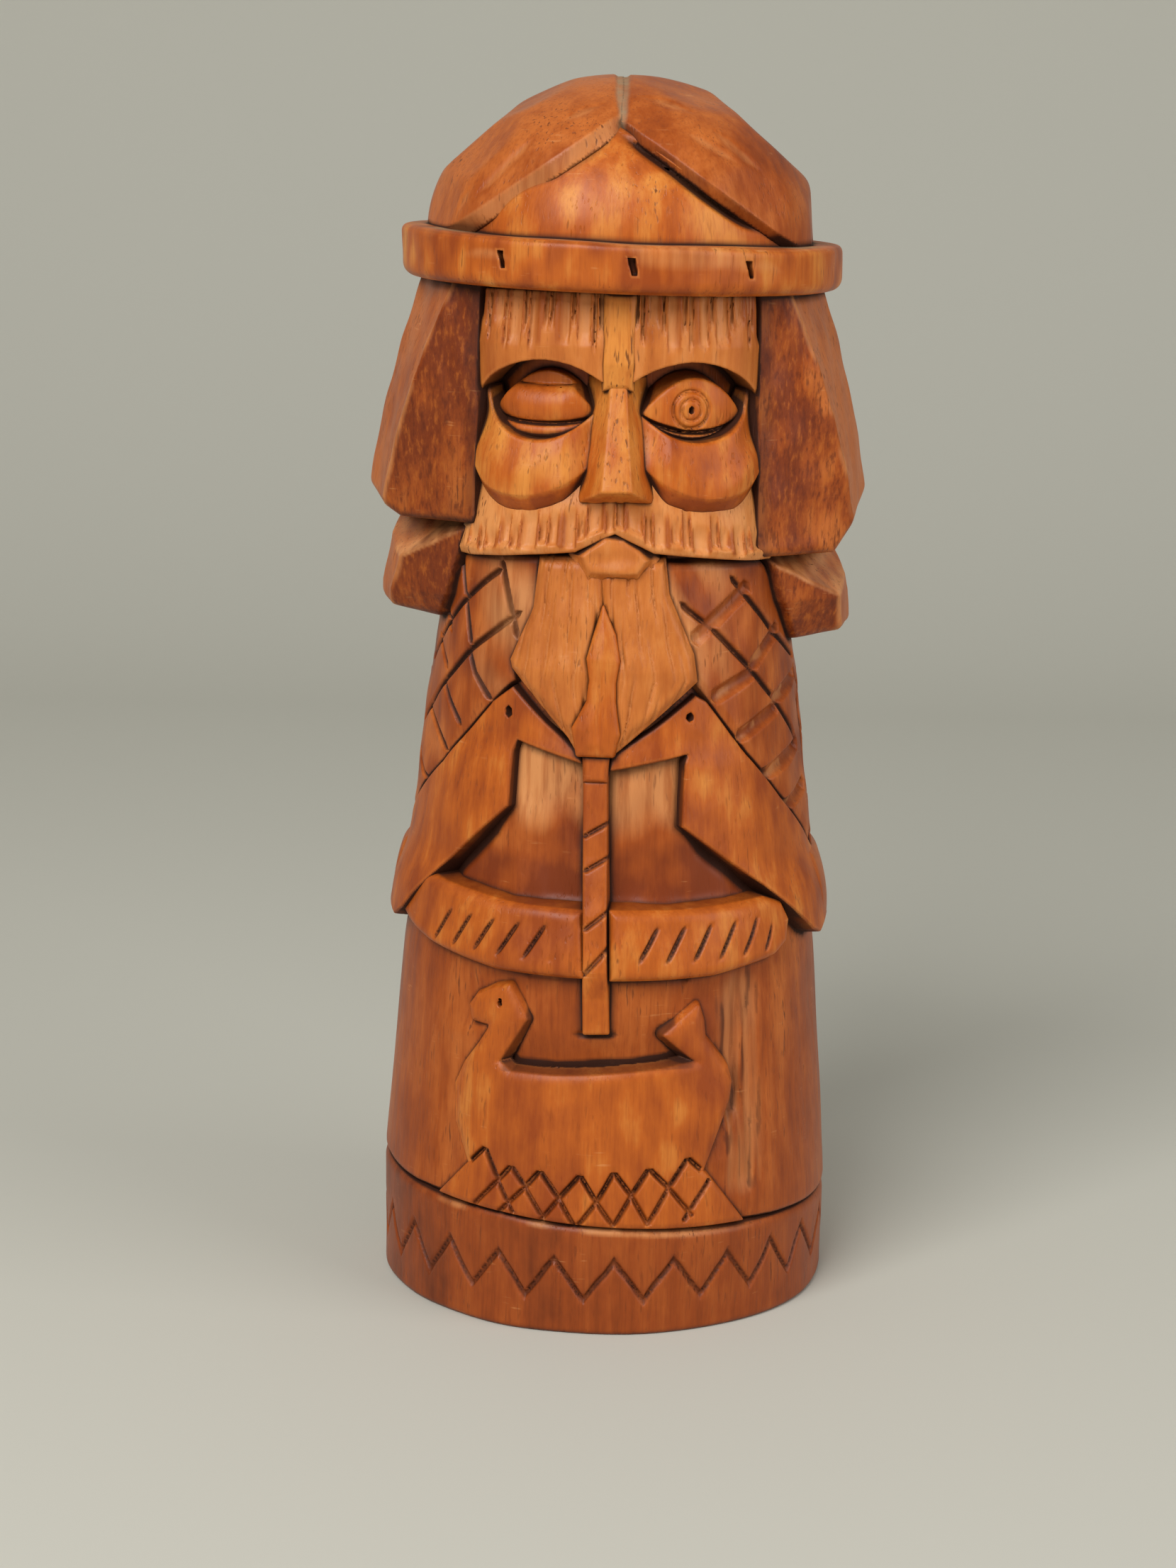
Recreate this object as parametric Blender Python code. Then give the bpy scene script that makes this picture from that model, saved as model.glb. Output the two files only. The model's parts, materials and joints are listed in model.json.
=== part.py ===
"""Carved wooden figurine of a helmeted, bearded norse god, split along its carved lines.

Metres, +Z up. The figure stands on the plane z = 0 with its axis on Z, and faces -Y.
An angle is in degrees round the axis, 0 at the front (-Y) and positive towards +X.
A level is a height above z = 0. Proud is how far a surface stands out of the trunk.
"""
import math

import bmesh
import bpy

# Heights, each measured up from the level before it
PLINTH_HEIGHT = 0.027
WAVE_HEIGHT = 0.0165
HULL_HEIGHT = 0.024
PROW_HEIGHT = 0.020
SHIP_TO_BELT = 0.002
BELT_HEIGHT = 0.0155
CHEST_HEIGHT = 0.037
RAVEN_HEAD_HEIGHT = 0.014
BEARD_HEIGHT = 0.028
LIP_HEIGHT = 0.006
MOUSTACHE_HEIGHT = 0.013
NOSE_HEIGHT = 0.027
BROW_HEIGHT = 0.0205
BRIM_HEIGHT = 0.0115
CROWN_HEIGHT = 0.038

# Radius of the block at its foot, and how much each stretch above it is cut in or stands out
PLINTH_RADIUS = 0.0565
SKIRT_TAPER = 0.005
WAIST_STEP = 0.003
CHEST_TAPER = 0.0045
NECK_TAPER = 0.0065
BRIM_OVERHANG = 0.016
CROWN_INSET = 0.006

# How far each carved region stands proud of the trunk
WAVE_PROUD = 0.0012
SHIP_PROUD = 0.0022
BELT_PROUD = 0.0042
BELT_BACK_PROUD = 0.0052
SPEAR_PROUD = 0.0046
COLLAR_PROUD = 0.0052
RAVEN_PROUD = 0.0036
CLOAK_PROUD = 0.0032
BEARD_PROUD = 0.0062
BEARD_LOCK_PROUD = 0.0074
LIP_PROUD = 0.0062
MOUSTACHE_PROUD = 0.0072
CHEEK_TOP_PROUD = 0.0044
CHEEK_FOOT_PROUD = 0.0078
BROW_PROUD = 0.0068
BROW_BAR_PROUD = 0.0084
EYE_PROUD = 0.0034
NOSE_ROOT_PROUD = 0.0066
NOSE_TIP_PROUD = 0.0130
NOSE_WING_PROUD = 0.0064
LOCK_FRONT_PROUD = 0.0052
LOCK_TOP_PROUD = 0.0110
LOCK_FOOT_PROUD = 0.0235
LOWER_LOCK_FRONT_PROUD = 0.0082
LOWER_LOCK_TOP_PROUD = 0.0150
LOWER_LOCK_FOOT_PROUD = 0.0170
LOCK_RIDGE_DROP = 0.002
LOCK_FOOT_CHAMFER = 0.004
LOWER_LOCK_SHOULDER_INSET = 0.006
BACK_NOTCH = 0.005

# Smaller heights, each measured from the level it belongs to
PLINTH_CHAMFER = 0.002
GROOVE_CHAMFER = 0.0012
WAVE_FOOT_GAP = 0.002
GUNWALE_SAG = 0.0015
STERN_HEIGHT = 0.0164
SPEAR_FOOT_RISE = 0.0085
BELT_SIDE_LIFT = 0.003
BELT_BACK_RISE = 0.007
COLLAR_HEIGHT = 0.0062
BELLY_RISE = 0.0215
TAIL_TIP_RISE = 0.007
TAIL_END_RISE = 0.0055
TAIL_TOP_RISE = 0.012
THROAT_RISE = 0.0012
BEARD_EDGE_RISE = 0.002
BEARD_EDGE_HEIGHT = 0.007
BEARD_LOCK_TIP_DROP = 0.008
BEARD_LOCK_SHOULDER_RISE = 0.005
BEARD_LOCK_FLARE_RISE = 0.004
LIP_PEAK = 0.0036
MOUSTACHE_DROOP = 0.003
CHEEK_RISE = 0.005
CHEEK_SAG = 0.007
EYE_RISE = 0.0185
LID_BOW = 0.0062
BROW_DROOP = 0.003
BROW_ARCH = 0.009
LEFT_LOCK_FOOT_RISE = 0.0043
RIGHT_LOCK_FOOT_DROP = 0.0025
BACK_HAIR_FOOT_RISE = 0.001
LOWER_LOCK_DROP = 0.024
LEFT_LOWER_LOCK_RISE = 0.0035
LOWER_LOCK_SHOULDER = 0.007
BRIM_ROUNDING = 0.0025
HELMET_APEX_DROP = 0.0125

# Angles of the carved lines, from the middle of the body or of the face
BODY_TURN = -5.0
FACE_TURN = -1.0
SIDE_ANGLE = 84.0
WAVE_HALF_ANGLE = 33.0
WAVE_FOOT_HALF_ANGLE = 40.0
HULL_HALF_ANGLE = 40.0
DECK_HALF_ANGLE = 25.5
SPEAR_HALF_ANGLE = 3.8
CREST_ANGLE = 29.5
BEAK_ANGLE = 4.8
BREAST_ANGLE = 25.0
TAIL_TIP_ANGLE = 66.0
BEARD_HALF_ANGLE = 27.0
BEARD_TOP_HALF_ANGLE = 20.0
BEARD_LOCK_HALF_ANGLE = 4.8
BEARD_LOCK_FLARE_ANGLE = 6.2
BEARD_LOCK_FOOT_ANGLE = 4.2
LIP_HALF_ANGLE = 13.0
LIP_FOOT_HALF_ANGLE = 9.0
FACE_HALF_ANGLE = 47.0
NOSE_HALF_ANGLE = 11.0
NOSE_ROOT_HALF_ANGLE = 5.0
NOSE_FLAT_SHARE = 0.5
BROW_BAR_HALF_ANGLE = 3.4
EYE_INNER_ANGLE = 8.5
EYE_OUTER_ANGLE = 42.0
LOCK_SIDE_ANGLE = 90.0
LOCK_BACK_ANGLE = 105.0
LOCK_GAP_ANGLE = 0.6
LOCK_RIDGE_TOP_ANGLE = 54.0
LOCK_RIDGE_FOOT_ANGLE = 74.0
LOWER_LOCK_TOP_ANGLE = 50.0
LOWER_LOCK_RIDGE_ANGLE = 66.0
LOWER_LOCK_FOOT_ANGLE = 76.0
LOWER_LOCK_FOOT_RIDGE_ANGLE = 83.0

# Helmet plates
PLATE_THICKNESS = 0.003
PLATE_SEAM = 0.0024
RIDGE_HALF_WIDTH = 0.036
CROWN_POWER = 2.0
CROWN_FLAT_RADIUS = 0.0014

# Crossed knife cuts on the back of the cloak; the lean is how far a cut goes sideways as it climbs
CLOAK_CUT_PITCH = 0.015
CLOAK_CUT_LEAN = 1.15
CLOAK_CUT_HALF_WIDTH = 0.00105
CLOAK_CUT_DEPTH = 0.0012

# The hairline between neighbouring regions, and how finely the round faces are cut
JOINT = 0.0003
SIDES = 48
ARC_STEPS = 6
CROWN_RINGS = 7
LOFT_STEPS = 5
BACK_LOCKS = 5
SOFT_STEP = 0.004
HEAD_SQUARENESS = 2.6
SHARPEST_SPREAD = 0.2
CUT_MERGE = 0.00002
FLAT_TOLERANCE = 0.000001

# Radii, worked out from the block
SKIRT_TOP_RADIUS = PLINTH_RADIUS - SKIRT_TAPER
WAIST_RADIUS = SKIRT_TOP_RADIUS - WAIST_STEP
CHEST_RADIUS = WAIST_RADIUS - CHEST_TAPER
HEAD_RADIUS = CHEST_RADIUS - NECK_TAPER
BRIM_RADIUS = HEAD_RADIUS + BRIM_OVERHANG
CROWN_RADIUS = BRIM_RADIUS - CROWN_INSET

# Levels, worked out from the heights
PLINTH_TOP = PLINTH_HEIGHT
KEEL = PLINTH_TOP + WAVE_HEIGHT
GUNWALE = KEEL + HULL_HEIGHT
PROW_TOP = GUNWALE + PROW_HEIGHT
BELT_BOTTOM = PROW_TOP + SHIP_TO_BELT
BELT_TOP = BELT_BOTTOM + BELT_HEIGHT
BEAK = BELT_TOP + CHEST_HEIGHT
CREST = BEAK + RAVEN_HEAD_HEIGHT
LIP_BOTTOM = CREST + BEARD_HEIGHT
MOUTH = LIP_BOTTOM + LIP_HEIGHT
NOSE_BASE = MOUTH + MOUSTACHE_HEIGHT
BROW_EDGE = NOSE_BASE + NOSE_HEIGHT
BRIM_BOTTOM = BROW_EDGE + BROW_HEIGHT
BRIM_TOP = BRIM_BOTTOM + BRIM_HEIGHT
EYE = NOSE_BASE + EYE_RISE
LEFT_LOCK_FOOT = MOUTH + LEFT_LOCK_FOOT_RISE
RIGHT_LOCK_FOOT = MOUTH - RIGHT_LOCK_FOOT_DROP
BACK_HAIR_FOOT = MOUTH + BACK_HAIR_FOOT_RISE
LOWER_LOCK_FOOT = MOUTH - LOWER_LOCK_DROP
LEFT_LOWER_LOCK_FOOT = LOWER_LOCK_FOOT + LEFT_LOWER_LOCK_RISE
BELT_BACK_TOP = BELT_TOP + BELT_BACK_RISE

# The trunk's rings: level, radius and squareness, where 2 is a true circle
TRUNK_RINGS = [
    (PLINTH_TOP, PLINTH_RADIUS, 2.0),
    (BELT_BOTTOM, SKIRT_TOP_RADIUS, 2.0),
    (BELT_TOP, WAIST_RADIUS, 2.0),
    (BEAK, CHEST_RADIUS, 2.0),
    (MOUTH, HEAD_RADIUS, HEAD_SQUARENESS),
    (BRIM_BOTTOM, HEAD_RADIUS, HEAD_SQUARENESS),
]

# Linear colours of the stained wood
DARK_WOOD = (0.26, 0.066, 0.018)
MID_WOOD = (0.40, 0.105, 0.025)
GOLD_WOOD = (0.52, 0.165, 0.042)
PALE_WOOD = (0.60, 0.21, 0.065)


def ring_radius(ring, angle):
    """Radius of one trunk ring at an angle: a circle, or a rounded square for the head."""
    level, radius, power = ring
    turn = math.radians(angle)
    spread = abs(math.cos(turn)) ** power + abs(math.sin(turn)) ** power
    return radius * spread ** (-1.0 / power)


def trunk_radius(level, angle):
    """Radius of the trunk's ground surface, straight between its rings."""
    lower, upper = TRUNK_RINGS[0], TRUNK_RINGS[1]
    for lower, upper in zip(TRUNK_RINGS, TRUNK_RINGS[1:]):
        if level <= upper[0]:
            break
    share = (level - lower[0]) / (upper[0] - lower[0])
    return ring_radius(lower, angle) * (1.0 - share) + ring_radius(upper, angle) * share


def on_trunk(angle, level, proud):
    """Point at an angle and a level that stands proud of the trunk."""
    radius = trunk_radius(level, angle) + proud
    turn = math.radians(angle)
    return (radius * math.sin(turn), -radius * math.cos(turn), level)


def body(side, angle):
    """Angle on the body, counted from the spear; side is 1 for the right and -1 for the left."""
    return side * angle + BODY_TURN


def face(side, angle):
    """Angle on the head, counted from the nose."""
    return side * angle + FACE_TURN


def sweep(start, end, bow):
    """Points from start to end on a parabola that rises by bow in the middle."""
    points = []
    for step in range(ARC_STEPS + 1):
        share = step / ARC_STEPS
        angle = start[0] + (end[0] - start[0]) * share
        level = start[1] + (end[1] - start[1]) * share
        points.append((angle, level + 4.0 * bow * share * (1.0 - share)))
    return points


def stain(obj, colour, roughness):
    """Gives an object its own varnished wood material."""
    material = bpy.data.materials.new(obj.name + "_wood")
    material.use_nodes = True
    shader = material.node_tree.nodes["Principled BSDF"]
    shader.inputs["Base Color"].default_value = (*colour, 1.0)
    shader.inputs["Roughness"].default_value = roughness
    shader.inputs["Metallic"].default_value = 0.0
    obj.data.materials.append(material)


def add_solid(name, bm, colour, roughness=0.42):
    """Turns a closed bmesh into a named object under the figure's empty."""
    if bm.calc_volume(signed=True) < 0.0:
        bmesh.ops.reverse_faces(bm, faces=bm.faces[:])
    mesh = bpy.data.meshes.new(name)
    bm.to_mesh(mesh)
    bm.free()
    mesh.shade_smooth()
    mesh.set_sharp_from_angle(angle=math.radians(30.0))
    obj = bpy.data.objects.new(name, mesh)
    bpy.context.collection.objects.link(obj)
    obj.parent = bpy.data.objects["figurine"]
    stain(obj, colour, roughness)
    return obj


def add_closed_grid(bm, rows):
    """Skins a list of closed rings, lowest first, and caps both ends."""
    rings = [[bm.verts.new(point) for point in row] for row in rows]
    for low, high in zip(rings, rings[1:]):
        for index in range(len(low)):
            after = (index + 1) % len(low)
            bm.faces.new((low[index], low[after], high[after], high[index]))
    bm.faces.new(rings[0][::-1])
    bm.faces.new(rings[-1])


def turned(name, profile, colour):
    """Solid of revolution from (radius, level) pairs, from the bottom to the top."""
    bm = bmesh.new()
    rows = []
    for radius, level in profile:
        turns = [2.0 * math.pi * index / SIDES for index in range(SIDES)]
        rows.append([(radius * math.sin(turn), -radius * math.cos(turn), level) for turn in turns])
    add_closed_grid(bm, rows)
    return add_solid(name, bm, colour)


def inset(outline, distance):
    """Closed outline drawn in by a distance on all sides, in the unrolled surface's own metres."""
    doubled_area = 0.0
    for (x0, y0), (x1, y1) in zip(outline, outline[1:] + outline[:1]):
        doubled_area += x0 * y1 - x1 * y0
    points = outline if doubled_area > 0.0 else outline[::-1]
    drawn_in = []
    for index, (x, y) in enumerate(points):
        before = points[index - 1]
        after = points[(index + 1) % len(points)]
        in_x, in_y = x - before[0], y - before[1]
        out_x, out_y = after[0] - x, after[1] - y
        in_length = math.hypot(in_x, in_y)
        out_length = math.hypot(out_x, out_y)
        normal_in = (-in_y / in_length, in_x / in_length)
        normal_out = (-out_y / out_length, out_x / out_length)
        spread = 1.0 + normal_in[0] * normal_out[0] + normal_in[1] * normal_out[1]
        scale = distance / max(spread, SHARPEST_SPREAD)
        shift_x = (normal_in[0] + normal_out[0]) * scale
        shift_y = (normal_in[1] + normal_out[1]) * scale
        drawn_in.append((x + shift_x, y + shift_y))
    return drawn_in


def cut_sheet(bm, normal, places):
    """Cuts a flat sheet along parallel lines, without parting it."""
    for place in places:
        point = (normal[0] * place, normal[1] * place, 0.0)
        geometry = bm.verts[:] + bm.edges[:] + bm.faces[:]
        bmesh.ops.bisect_plane(bm, geom=geometry, dist=1e-7, plane_co=point, plane_no=normal)


def relief(name, outline, proud, colour, soft=False):
    """Carved region with an (angle, level) outline; proud is a height or a function of both."""
    unit = math.radians(1.0) * WAIST_RADIUS
    flat = inset([(angle * unit, level) for angle, level in outline], JOINT / 2.0)
    bm = bmesh.new()
    bm.faces.new([bm.verts.new((x, y, 0.0)) for x, y in flat])
    bm.normal_update()
    bmesh.ops.triangulate(bm, faces=bm.faces[:])
    facet = 360.0 / SIDES
    first = math.floor(min(x for x, y in flat) / (facet * unit))
    last = math.ceil(max(x for x, y in flat) / (facet * unit))
    cut_sheet(bm, (1.0, 0.0, 0.0), [index * facet * unit for index in range(first, last + 1)])
    low = min(y for x, y in flat)
    high = max(y for x, y in flat)
    levels = [ring[0] for ring in TRUNK_RINGS if low < ring[0] < high]
    if soft:
        count = math.ceil((high - low) / SOFT_STEP)
        levels += [low + (high - low) * index / count for index in range(1, count)]
    cut_sheet(bm, (0.0, 1.0, 0.0), levels)
    bmesh.ops.remove_doubles(bm, verts=bm.verts[:], dist=CUT_MERGE)
    raise_sheet(bm, unit, proud)
    return add_solid(name, bm, colour)


def raise_sheet(bm, unit, proud):
    """Wraps a flat sheet round the trunk and thickens it outwards into a closed solid."""
    sheet = bm.faces[:]
    rim = [edge.link_loops[0] for edge in bm.edges if len(edge.link_faces) == 1]
    rim = [(loop.vert, loop.link_loop_next.vert) for loop in rim]
    under = {}
    for vert in bm.verts[:]:
        angle, level = vert.co.x / unit, vert.co.y
        height = proud(angle, level) if callable(proud) else proud
        under[vert] = bm.verts.new(on_trunk(angle, level, JOINT))
        vert.co = on_trunk(angle, level, height)
    for sheet_face in sheet:
        bm.faces.new([under[vert] for vert in reversed(sheet_face.verts)])
    for start, end in rim:
        bm.faces.new((end, start, under[start], under[end]))


def cut_lines(lean, left, right, low, high):
    """Unit normal, in the unrolled sheet, of one family of crossed cuts, and the place of each cut."""
    slant = math.hypot(1.0, CLOAK_CUT_LEAN)
    normal = (1.0 / slant, lean * CLOAK_CUT_LEAN / slant, 0.0)
    step = CLOAK_CUT_PITCH / slant
    middle = normal[0] * (left + right) / 2.0 + normal[1] * (low + high) / 2.0
    reach = normal[0] * (right - left) / 2.0 + abs(normal[1]) * (high - low) / 2.0
    count = math.floor(reach / step)
    return normal, [middle + index * step for index in range(-count, count + 1)]


def wrapped(bm, sheet, unit, proud):
    """Copies a flat sheet into a mesh, bent round the trunk, and returns the copy of each vertex."""
    copies = {}
    for vert in sheet.verts:
        angle, level = vert.co.x / unit, vert.co.y
        copies[vert] = bm.verts.new(on_trunk(angle, level, proud(vert.co.x, level)))
    for sheet_face in sheet.faces:
        bm.faces.new([copies[vert] for vert in sheet_face.verts])
    return copies


def border(copies, axis, place):
    """Copies of the vertices on one straight border of a flat sheet, in order along it."""
    found = [vert for vert in copies if abs(vert.co[axis] - place) < FLAT_TOLERANCE]
    return [copies[vert] for vert in sorted(found, key=lambda vert: vert.co[1 - axis])]


def crossed(name, corners, proud, colour):
    """Rectangular region with crossed V cuts over its outside, and the trunk's own facets inside."""
    unit = math.radians(1.0) * WAIST_RADIUS
    flat = inset([(angle * unit, level) for angle, level in corners], JOINT / 2.0)
    left, right = min(x for x, y in flat), max(x for x, y in flat)
    low, high = min(y for x, y in flat), max(y for x, y in flat)
    families = [cut_lines(lean, left, right, low, high) for lean in (1.0, -1.0)]

    def cut_proud(x, y):
        depth = 0.0
        for normal, places in families:
            here = normal[0] * x + normal[1] * y
            away = min(abs(here - place) for place in places)
            depth = max(depth, CLOAK_CUT_DEPTH * (1.0 - away / CLOAK_CUT_HALF_WIDTH))
        return proud - depth

    facet = 360.0 / SIDES * unit
    facets = [index * facet for index in range(math.floor(left / facet), math.ceil(right / facet) + 1)]
    levels = [ring[0] for ring in TRUNK_RINGS if low < ring[0] < high]
    outside, inside = bmesh.new(), bmesh.new()
    for sheet in (outside, inside):
        sheet.faces.new([sheet.verts.new((x, y, 0.0)) for x, y in flat])
        sheet.normal_update()
    for normal, places in families:
        for shift in (-CLOAK_CUT_HALF_WIDTH, 0.0, CLOAK_CUT_HALF_WIDTH):
            cut_sheet(outside, normal, [place + shift for place in places])
    bmesh.ops.remove_doubles(outside, verts=outside.verts[:], dist=CUT_MERGE)
    cut_sheet(inside, (1.0, 0.0, 0.0), facets)
    cut_sheet(inside, (0.0, 1.0, 0.0), levels)
    bm = bmesh.new()
    outer = wrapped(bm, outside, unit, cut_proud)
    inner = wrapped(bm, inside, unit, lambda x, y: JOINT)
    for axis, place in ((0, left), (0, right), (1, low), (1, high)):
        bm.faces.new(border(outer, axis, place) + border(inner, axis, place)[::-1])
    outside.free()
    inside.free()
    bmesh.ops.recalc_face_normals(bm, faces=bm.faces[:])
    return add_solid(name, bm, colour)


def between(first, second, share):
    """Mix of two equally long lists of numbers."""
    return [low + (high - low) * share for low, high in zip(first, second)]


def refined(rows):
    """Adds rows between the given ones, so that a loft can follow the round trunk."""
    fine = []
    for (level0, points0), (level1, points1) in zip(rows, rows[1:]):
        for step in range(LOFT_STEPS):
            share = step / LOFT_STEPS
            points = [between(one, two, share) for one, two in zip(points0, points1)]
            fine.append((level0 + (level1 - level0) * share, points))
    return fine + rows[-1:]


def lofted_ring(level, points, counts):
    """Closed ring of a loft: straight facets outside, the trunk's own curve inside."""
    outer, inner = [], []
    for count, (angle0, proud0), (angle1, proud1) in zip(counts, points, points[1:]):
        start, end = on_trunk(angle0, level, proud0), on_trunk(angle1, level, proud1)
        for step in range(count):
            outer.append(between(start, end, step / count))
            inner.append(on_trunk(angle0 + (angle1 - angle0) * step / count, level, JOINT))
    last_angle, last_proud = points[-1]
    outer.append(on_trunk(last_angle, level, last_proud))
    inner.append(on_trunk(last_angle, level, JOINT))
    return outer + inner[::-1]


def lofted(name, rows, colour):
    """Faceted piece seated on the trunk, from rows of (level, [(angle, proud), ...])."""
    facet = 360.0 / SIDES
    counts = []
    for index in range(len(rows[0][1]) - 1):
        widest = max(abs(points[index + 1][0] - points[index][0]) for level, points in rows)
        counts.append(math.ceil(widest / facet))
    bm = bmesh.new()
    add_closed_grid(bm, [lofted_ring(level, points, counts) for level, points in refined(rows)])
    return add_solid(name, bm, colour)


def cut(obj, cutter):
    """Takes a cutter's volume away from an object."""
    cutter.hide_render = True
    cutter.display_type = "WIRE"
    modifier = obj.modifiers.new("cut_" + cutter.name, "BOOLEAN")
    modifier.operation = "DIFFERENCE"
    modifier.solver = "EXACT"
    modifier.object = cutter


def make_foot_and_trunk():
    """Plinth below the ring groove, and the core that every carved region lies on."""
    turned("base_plinth", [
        (PLINTH_RADIUS - PLINTH_CHAMFER, 0.0),
        (PLINTH_RADIUS, PLINTH_CHAMFER),
        (PLINTH_RADIUS, PLINTH_TOP - GROOVE_CHAMFER),
        (PLINTH_RADIUS - GROOVE_CHAMFER, PLINTH_TOP),
    ], DARK_WOOD)
    bm = bmesh.new()
    foot = PLINTH_TOP + JOINT
    angles = [360.0 * index / SIDES for index in range(SIDES)]
    rows = [[on_trunk(angle, foot, -GROOVE_CHAMFER) for angle in angles]]
    rows.append([on_trunk(angle, foot + GROOVE_CHAMFER, 0.0) for angle in angles])
    for level, radius, power in TRUNK_RINGS[1:-1]:
        rows.append([on_trunk(angle, level, 0.0) for angle in angles])
    rows.append([on_trunk(angle, BRIM_BOTTOM - JOINT, 0.0) for angle in angles])
    add_closed_grid(bm, rows)
    add_solid("trunk", bm, MID_WOOD)


def make_ship():
    """Longship with its beast-headed prow on the left, and the wave cuts under it."""
    wave_foot = PLINTH_TOP + WAVE_FOOT_GAP
    waves = [(-WAVE_FOOT_HALF_ANGLE, wave_foot), (WAVE_FOOT_HALF_ANGLE, wave_foot),
             (WAVE_HALF_ANGLE, KEEL), (-WAVE_HALF_ANGLE, KEEL)]
    relief("wave_band", [(body(1, angle), level) for angle, level in waves], WAVE_PROUD, GOLD_WOOD)
    # Each head is a list of angles and shares of its own height above the gunwale
    prow = [(-17.1, 0.60), (-20.2, 1.0), (-28.0, 0.86), (-34.3, 0.66), (-30.6, 0.56), (-31.6, 0.40)]
    stern = [(31.0, 0.52), (29.4, 1.0), (18.1, 0.47)]
    outline = [(angle, GUNWALE + share * PROW_HEIGHT) for angle, share in prow]
    outline += [(-HULL_HALF_ANGLE, GUNWALE), (-WAVE_HALF_ANGLE, KEEL)]
    outline += [(WAVE_HALF_ANGLE, KEEL), (HULL_HALF_ANGLE, GUNWALE)]
    outline += [(angle, GUNWALE + share * STERN_HEIGHT) for angle, share in stern]
    outline += sweep((DECK_HALF_ANGLE, GUNWALE), (-DECK_HALF_ANGLE, GUNWALE), -GUNWALE_SAG)
    relief("longship", [(body(1, angle), level) for angle, level in outline], SHIP_PROUD, GOLD_WOOD)


def make_spear():
    """Spear shaft from above the deck to its collar under the beard."""
    collar_bottom = BEAK - COLLAR_HEIGHT
    spans = [("spear_shaft", GUNWALE + SPEAR_FOOT_RISE, collar_bottom, SPEAR_PROUD),
             ("spear_collar", collar_bottom, BEAK, COLLAR_PROUD)]
    for name, low, high, proud in spans:
        left, right = body(-1, SPEAR_HALF_ANGLE), body(1, SPEAR_HALF_ANGLE)
        relief(name, [(left, low), (right, low), (right, high), (left, high)], proud, GOLD_WOOD)


def tail_edge(level):
    """Angle of the raven's lower edge at a level, from its belly to its tail tip."""
    belly = BELT_TOP + BELLY_RISE
    tip = BELT_BOTTOM + TAIL_TIP_RISE
    return BREAST_ANGLE + (TAIL_TIP_ANGLE - BREAST_ANGLE) * (belly - level) / (belly - tip)


def moustache_edge(angle):
    """Level of the moustache's lower edge: a peak over the lip, falling to both ends."""
    away = abs(angle - FACE_TURN)
    if away < LIP_HALF_ANGLE:
        return MOUTH + LIP_PEAK * (1.0 - away / LIP_HALF_ANGLE)
    return MOUTH - MOUSTACHE_DROOP * (away - LIP_HALF_ANGLE) / (FACE_HALF_ANGLE - LIP_HALF_ANGLE)


def lock_feet(side):
    """Levels of the feet of the upper and the lower hair lock; the right ones hang lower."""
    if side < 0:
        return LEFT_LOCK_FOOT, LEFT_LOWER_LOCK_FOOT
    return RIGHT_LOCK_FOOT, LOWER_LOCK_FOOT


def make_chest(side, word):
    """One side of the body: raven, belt and the cloak above the raven."""
    tail_tip = BELT_BOTTOM + TAIL_TIP_RISE
    tail_top = BELT_TOP + TAIL_TOP_RISE
    belt_side = BELT_BOTTOM + BELT_SIDE_LIFT
    raven = [(CREST_ANGLE, CREST), (SIDE_ANGLE, tail_top), (SIDE_ANGLE, BELT_BOTTOM + TAIL_END_RISE),
             (TAIL_TIP_ANGLE, tail_tip), (BREAST_ANGLE, BELT_TOP + BELLY_RISE),
             (BREAST_ANGLE, BEAK + THROAT_RISE), (BEAK_ANGLE, BEAK)]
    belt = [(SPEAR_HALF_ANGLE, BELT_BOTTOM), (TAIL_TIP_ANGLE, belt_side), (TAIL_TIP_ANGLE, tail_tip),
            (tail_edge(BELT_TOP), BELT_TOP), (SPEAR_HALF_ANGLE, BELT_TOP)]
    beard_foot = BEAK + RAVEN_HEAD_HEIGHT + BEARD_EDGE_RISE
    lower_foot = lock_feet(side)[1]
    shoulder = [(CREST_ANGLE, CREST), (SIDE_ANGLE, tail_top), (SIDE_ANGLE, lower_foot)]
    cloak = [(body(side, angle), level) for angle, level in shoulder]
    cloak.append((face(side, LOWER_LOCK_FOOT_ANGLE), lower_foot))
    for angle in (face(side, LOWER_LOCK_TOP_ANGLE), body(side, BEARD_TOP_HALF_ANGLE)):
        cloak.append((angle, moustache_edge(angle)))
    cloak.append((body(side, BEARD_HALF_ANGLE), beard_foot + BEARD_EDGE_HEIGHT))
    cloak.append((body(side, BEARD_HALF_ANGLE), beard_foot))
    relief("raven_" + word, [(body(side, angle), level) for angle, level in raven], RAVEN_PROUD, GOLD_WOOD)
    relief("belt_" + word, [(body(side, angle), level) for angle, level in belt], BELT_PROUD, GOLD_WOOD)
    relief("cloak_" + word, cloak, CLOAK_PROUD, MID_WOOD)


def make_back():
    """Belt and cloak round the back, between the two sides of the body."""
    right, left = body(1, SIDE_ANGLE), body(-1, SIDE_ANGLE) + 360.0
    low, middle, high = BELT_BOTTOM + BELT_SIDE_LIFT, BELT_BACK_TOP, LOWER_LOCK_FOOT
    belt = [(right, low), (left, low), (left, middle), (right, middle)]
    cloak = [(right, middle), (left, middle), (left, high), (right, high)]
    relief("belt_back", belt, BELT_BACK_PROUD, MID_WOOD)
    crossed("cloak_back", cloak, CLOAK_PROUD, MID_WOOD)


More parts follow.
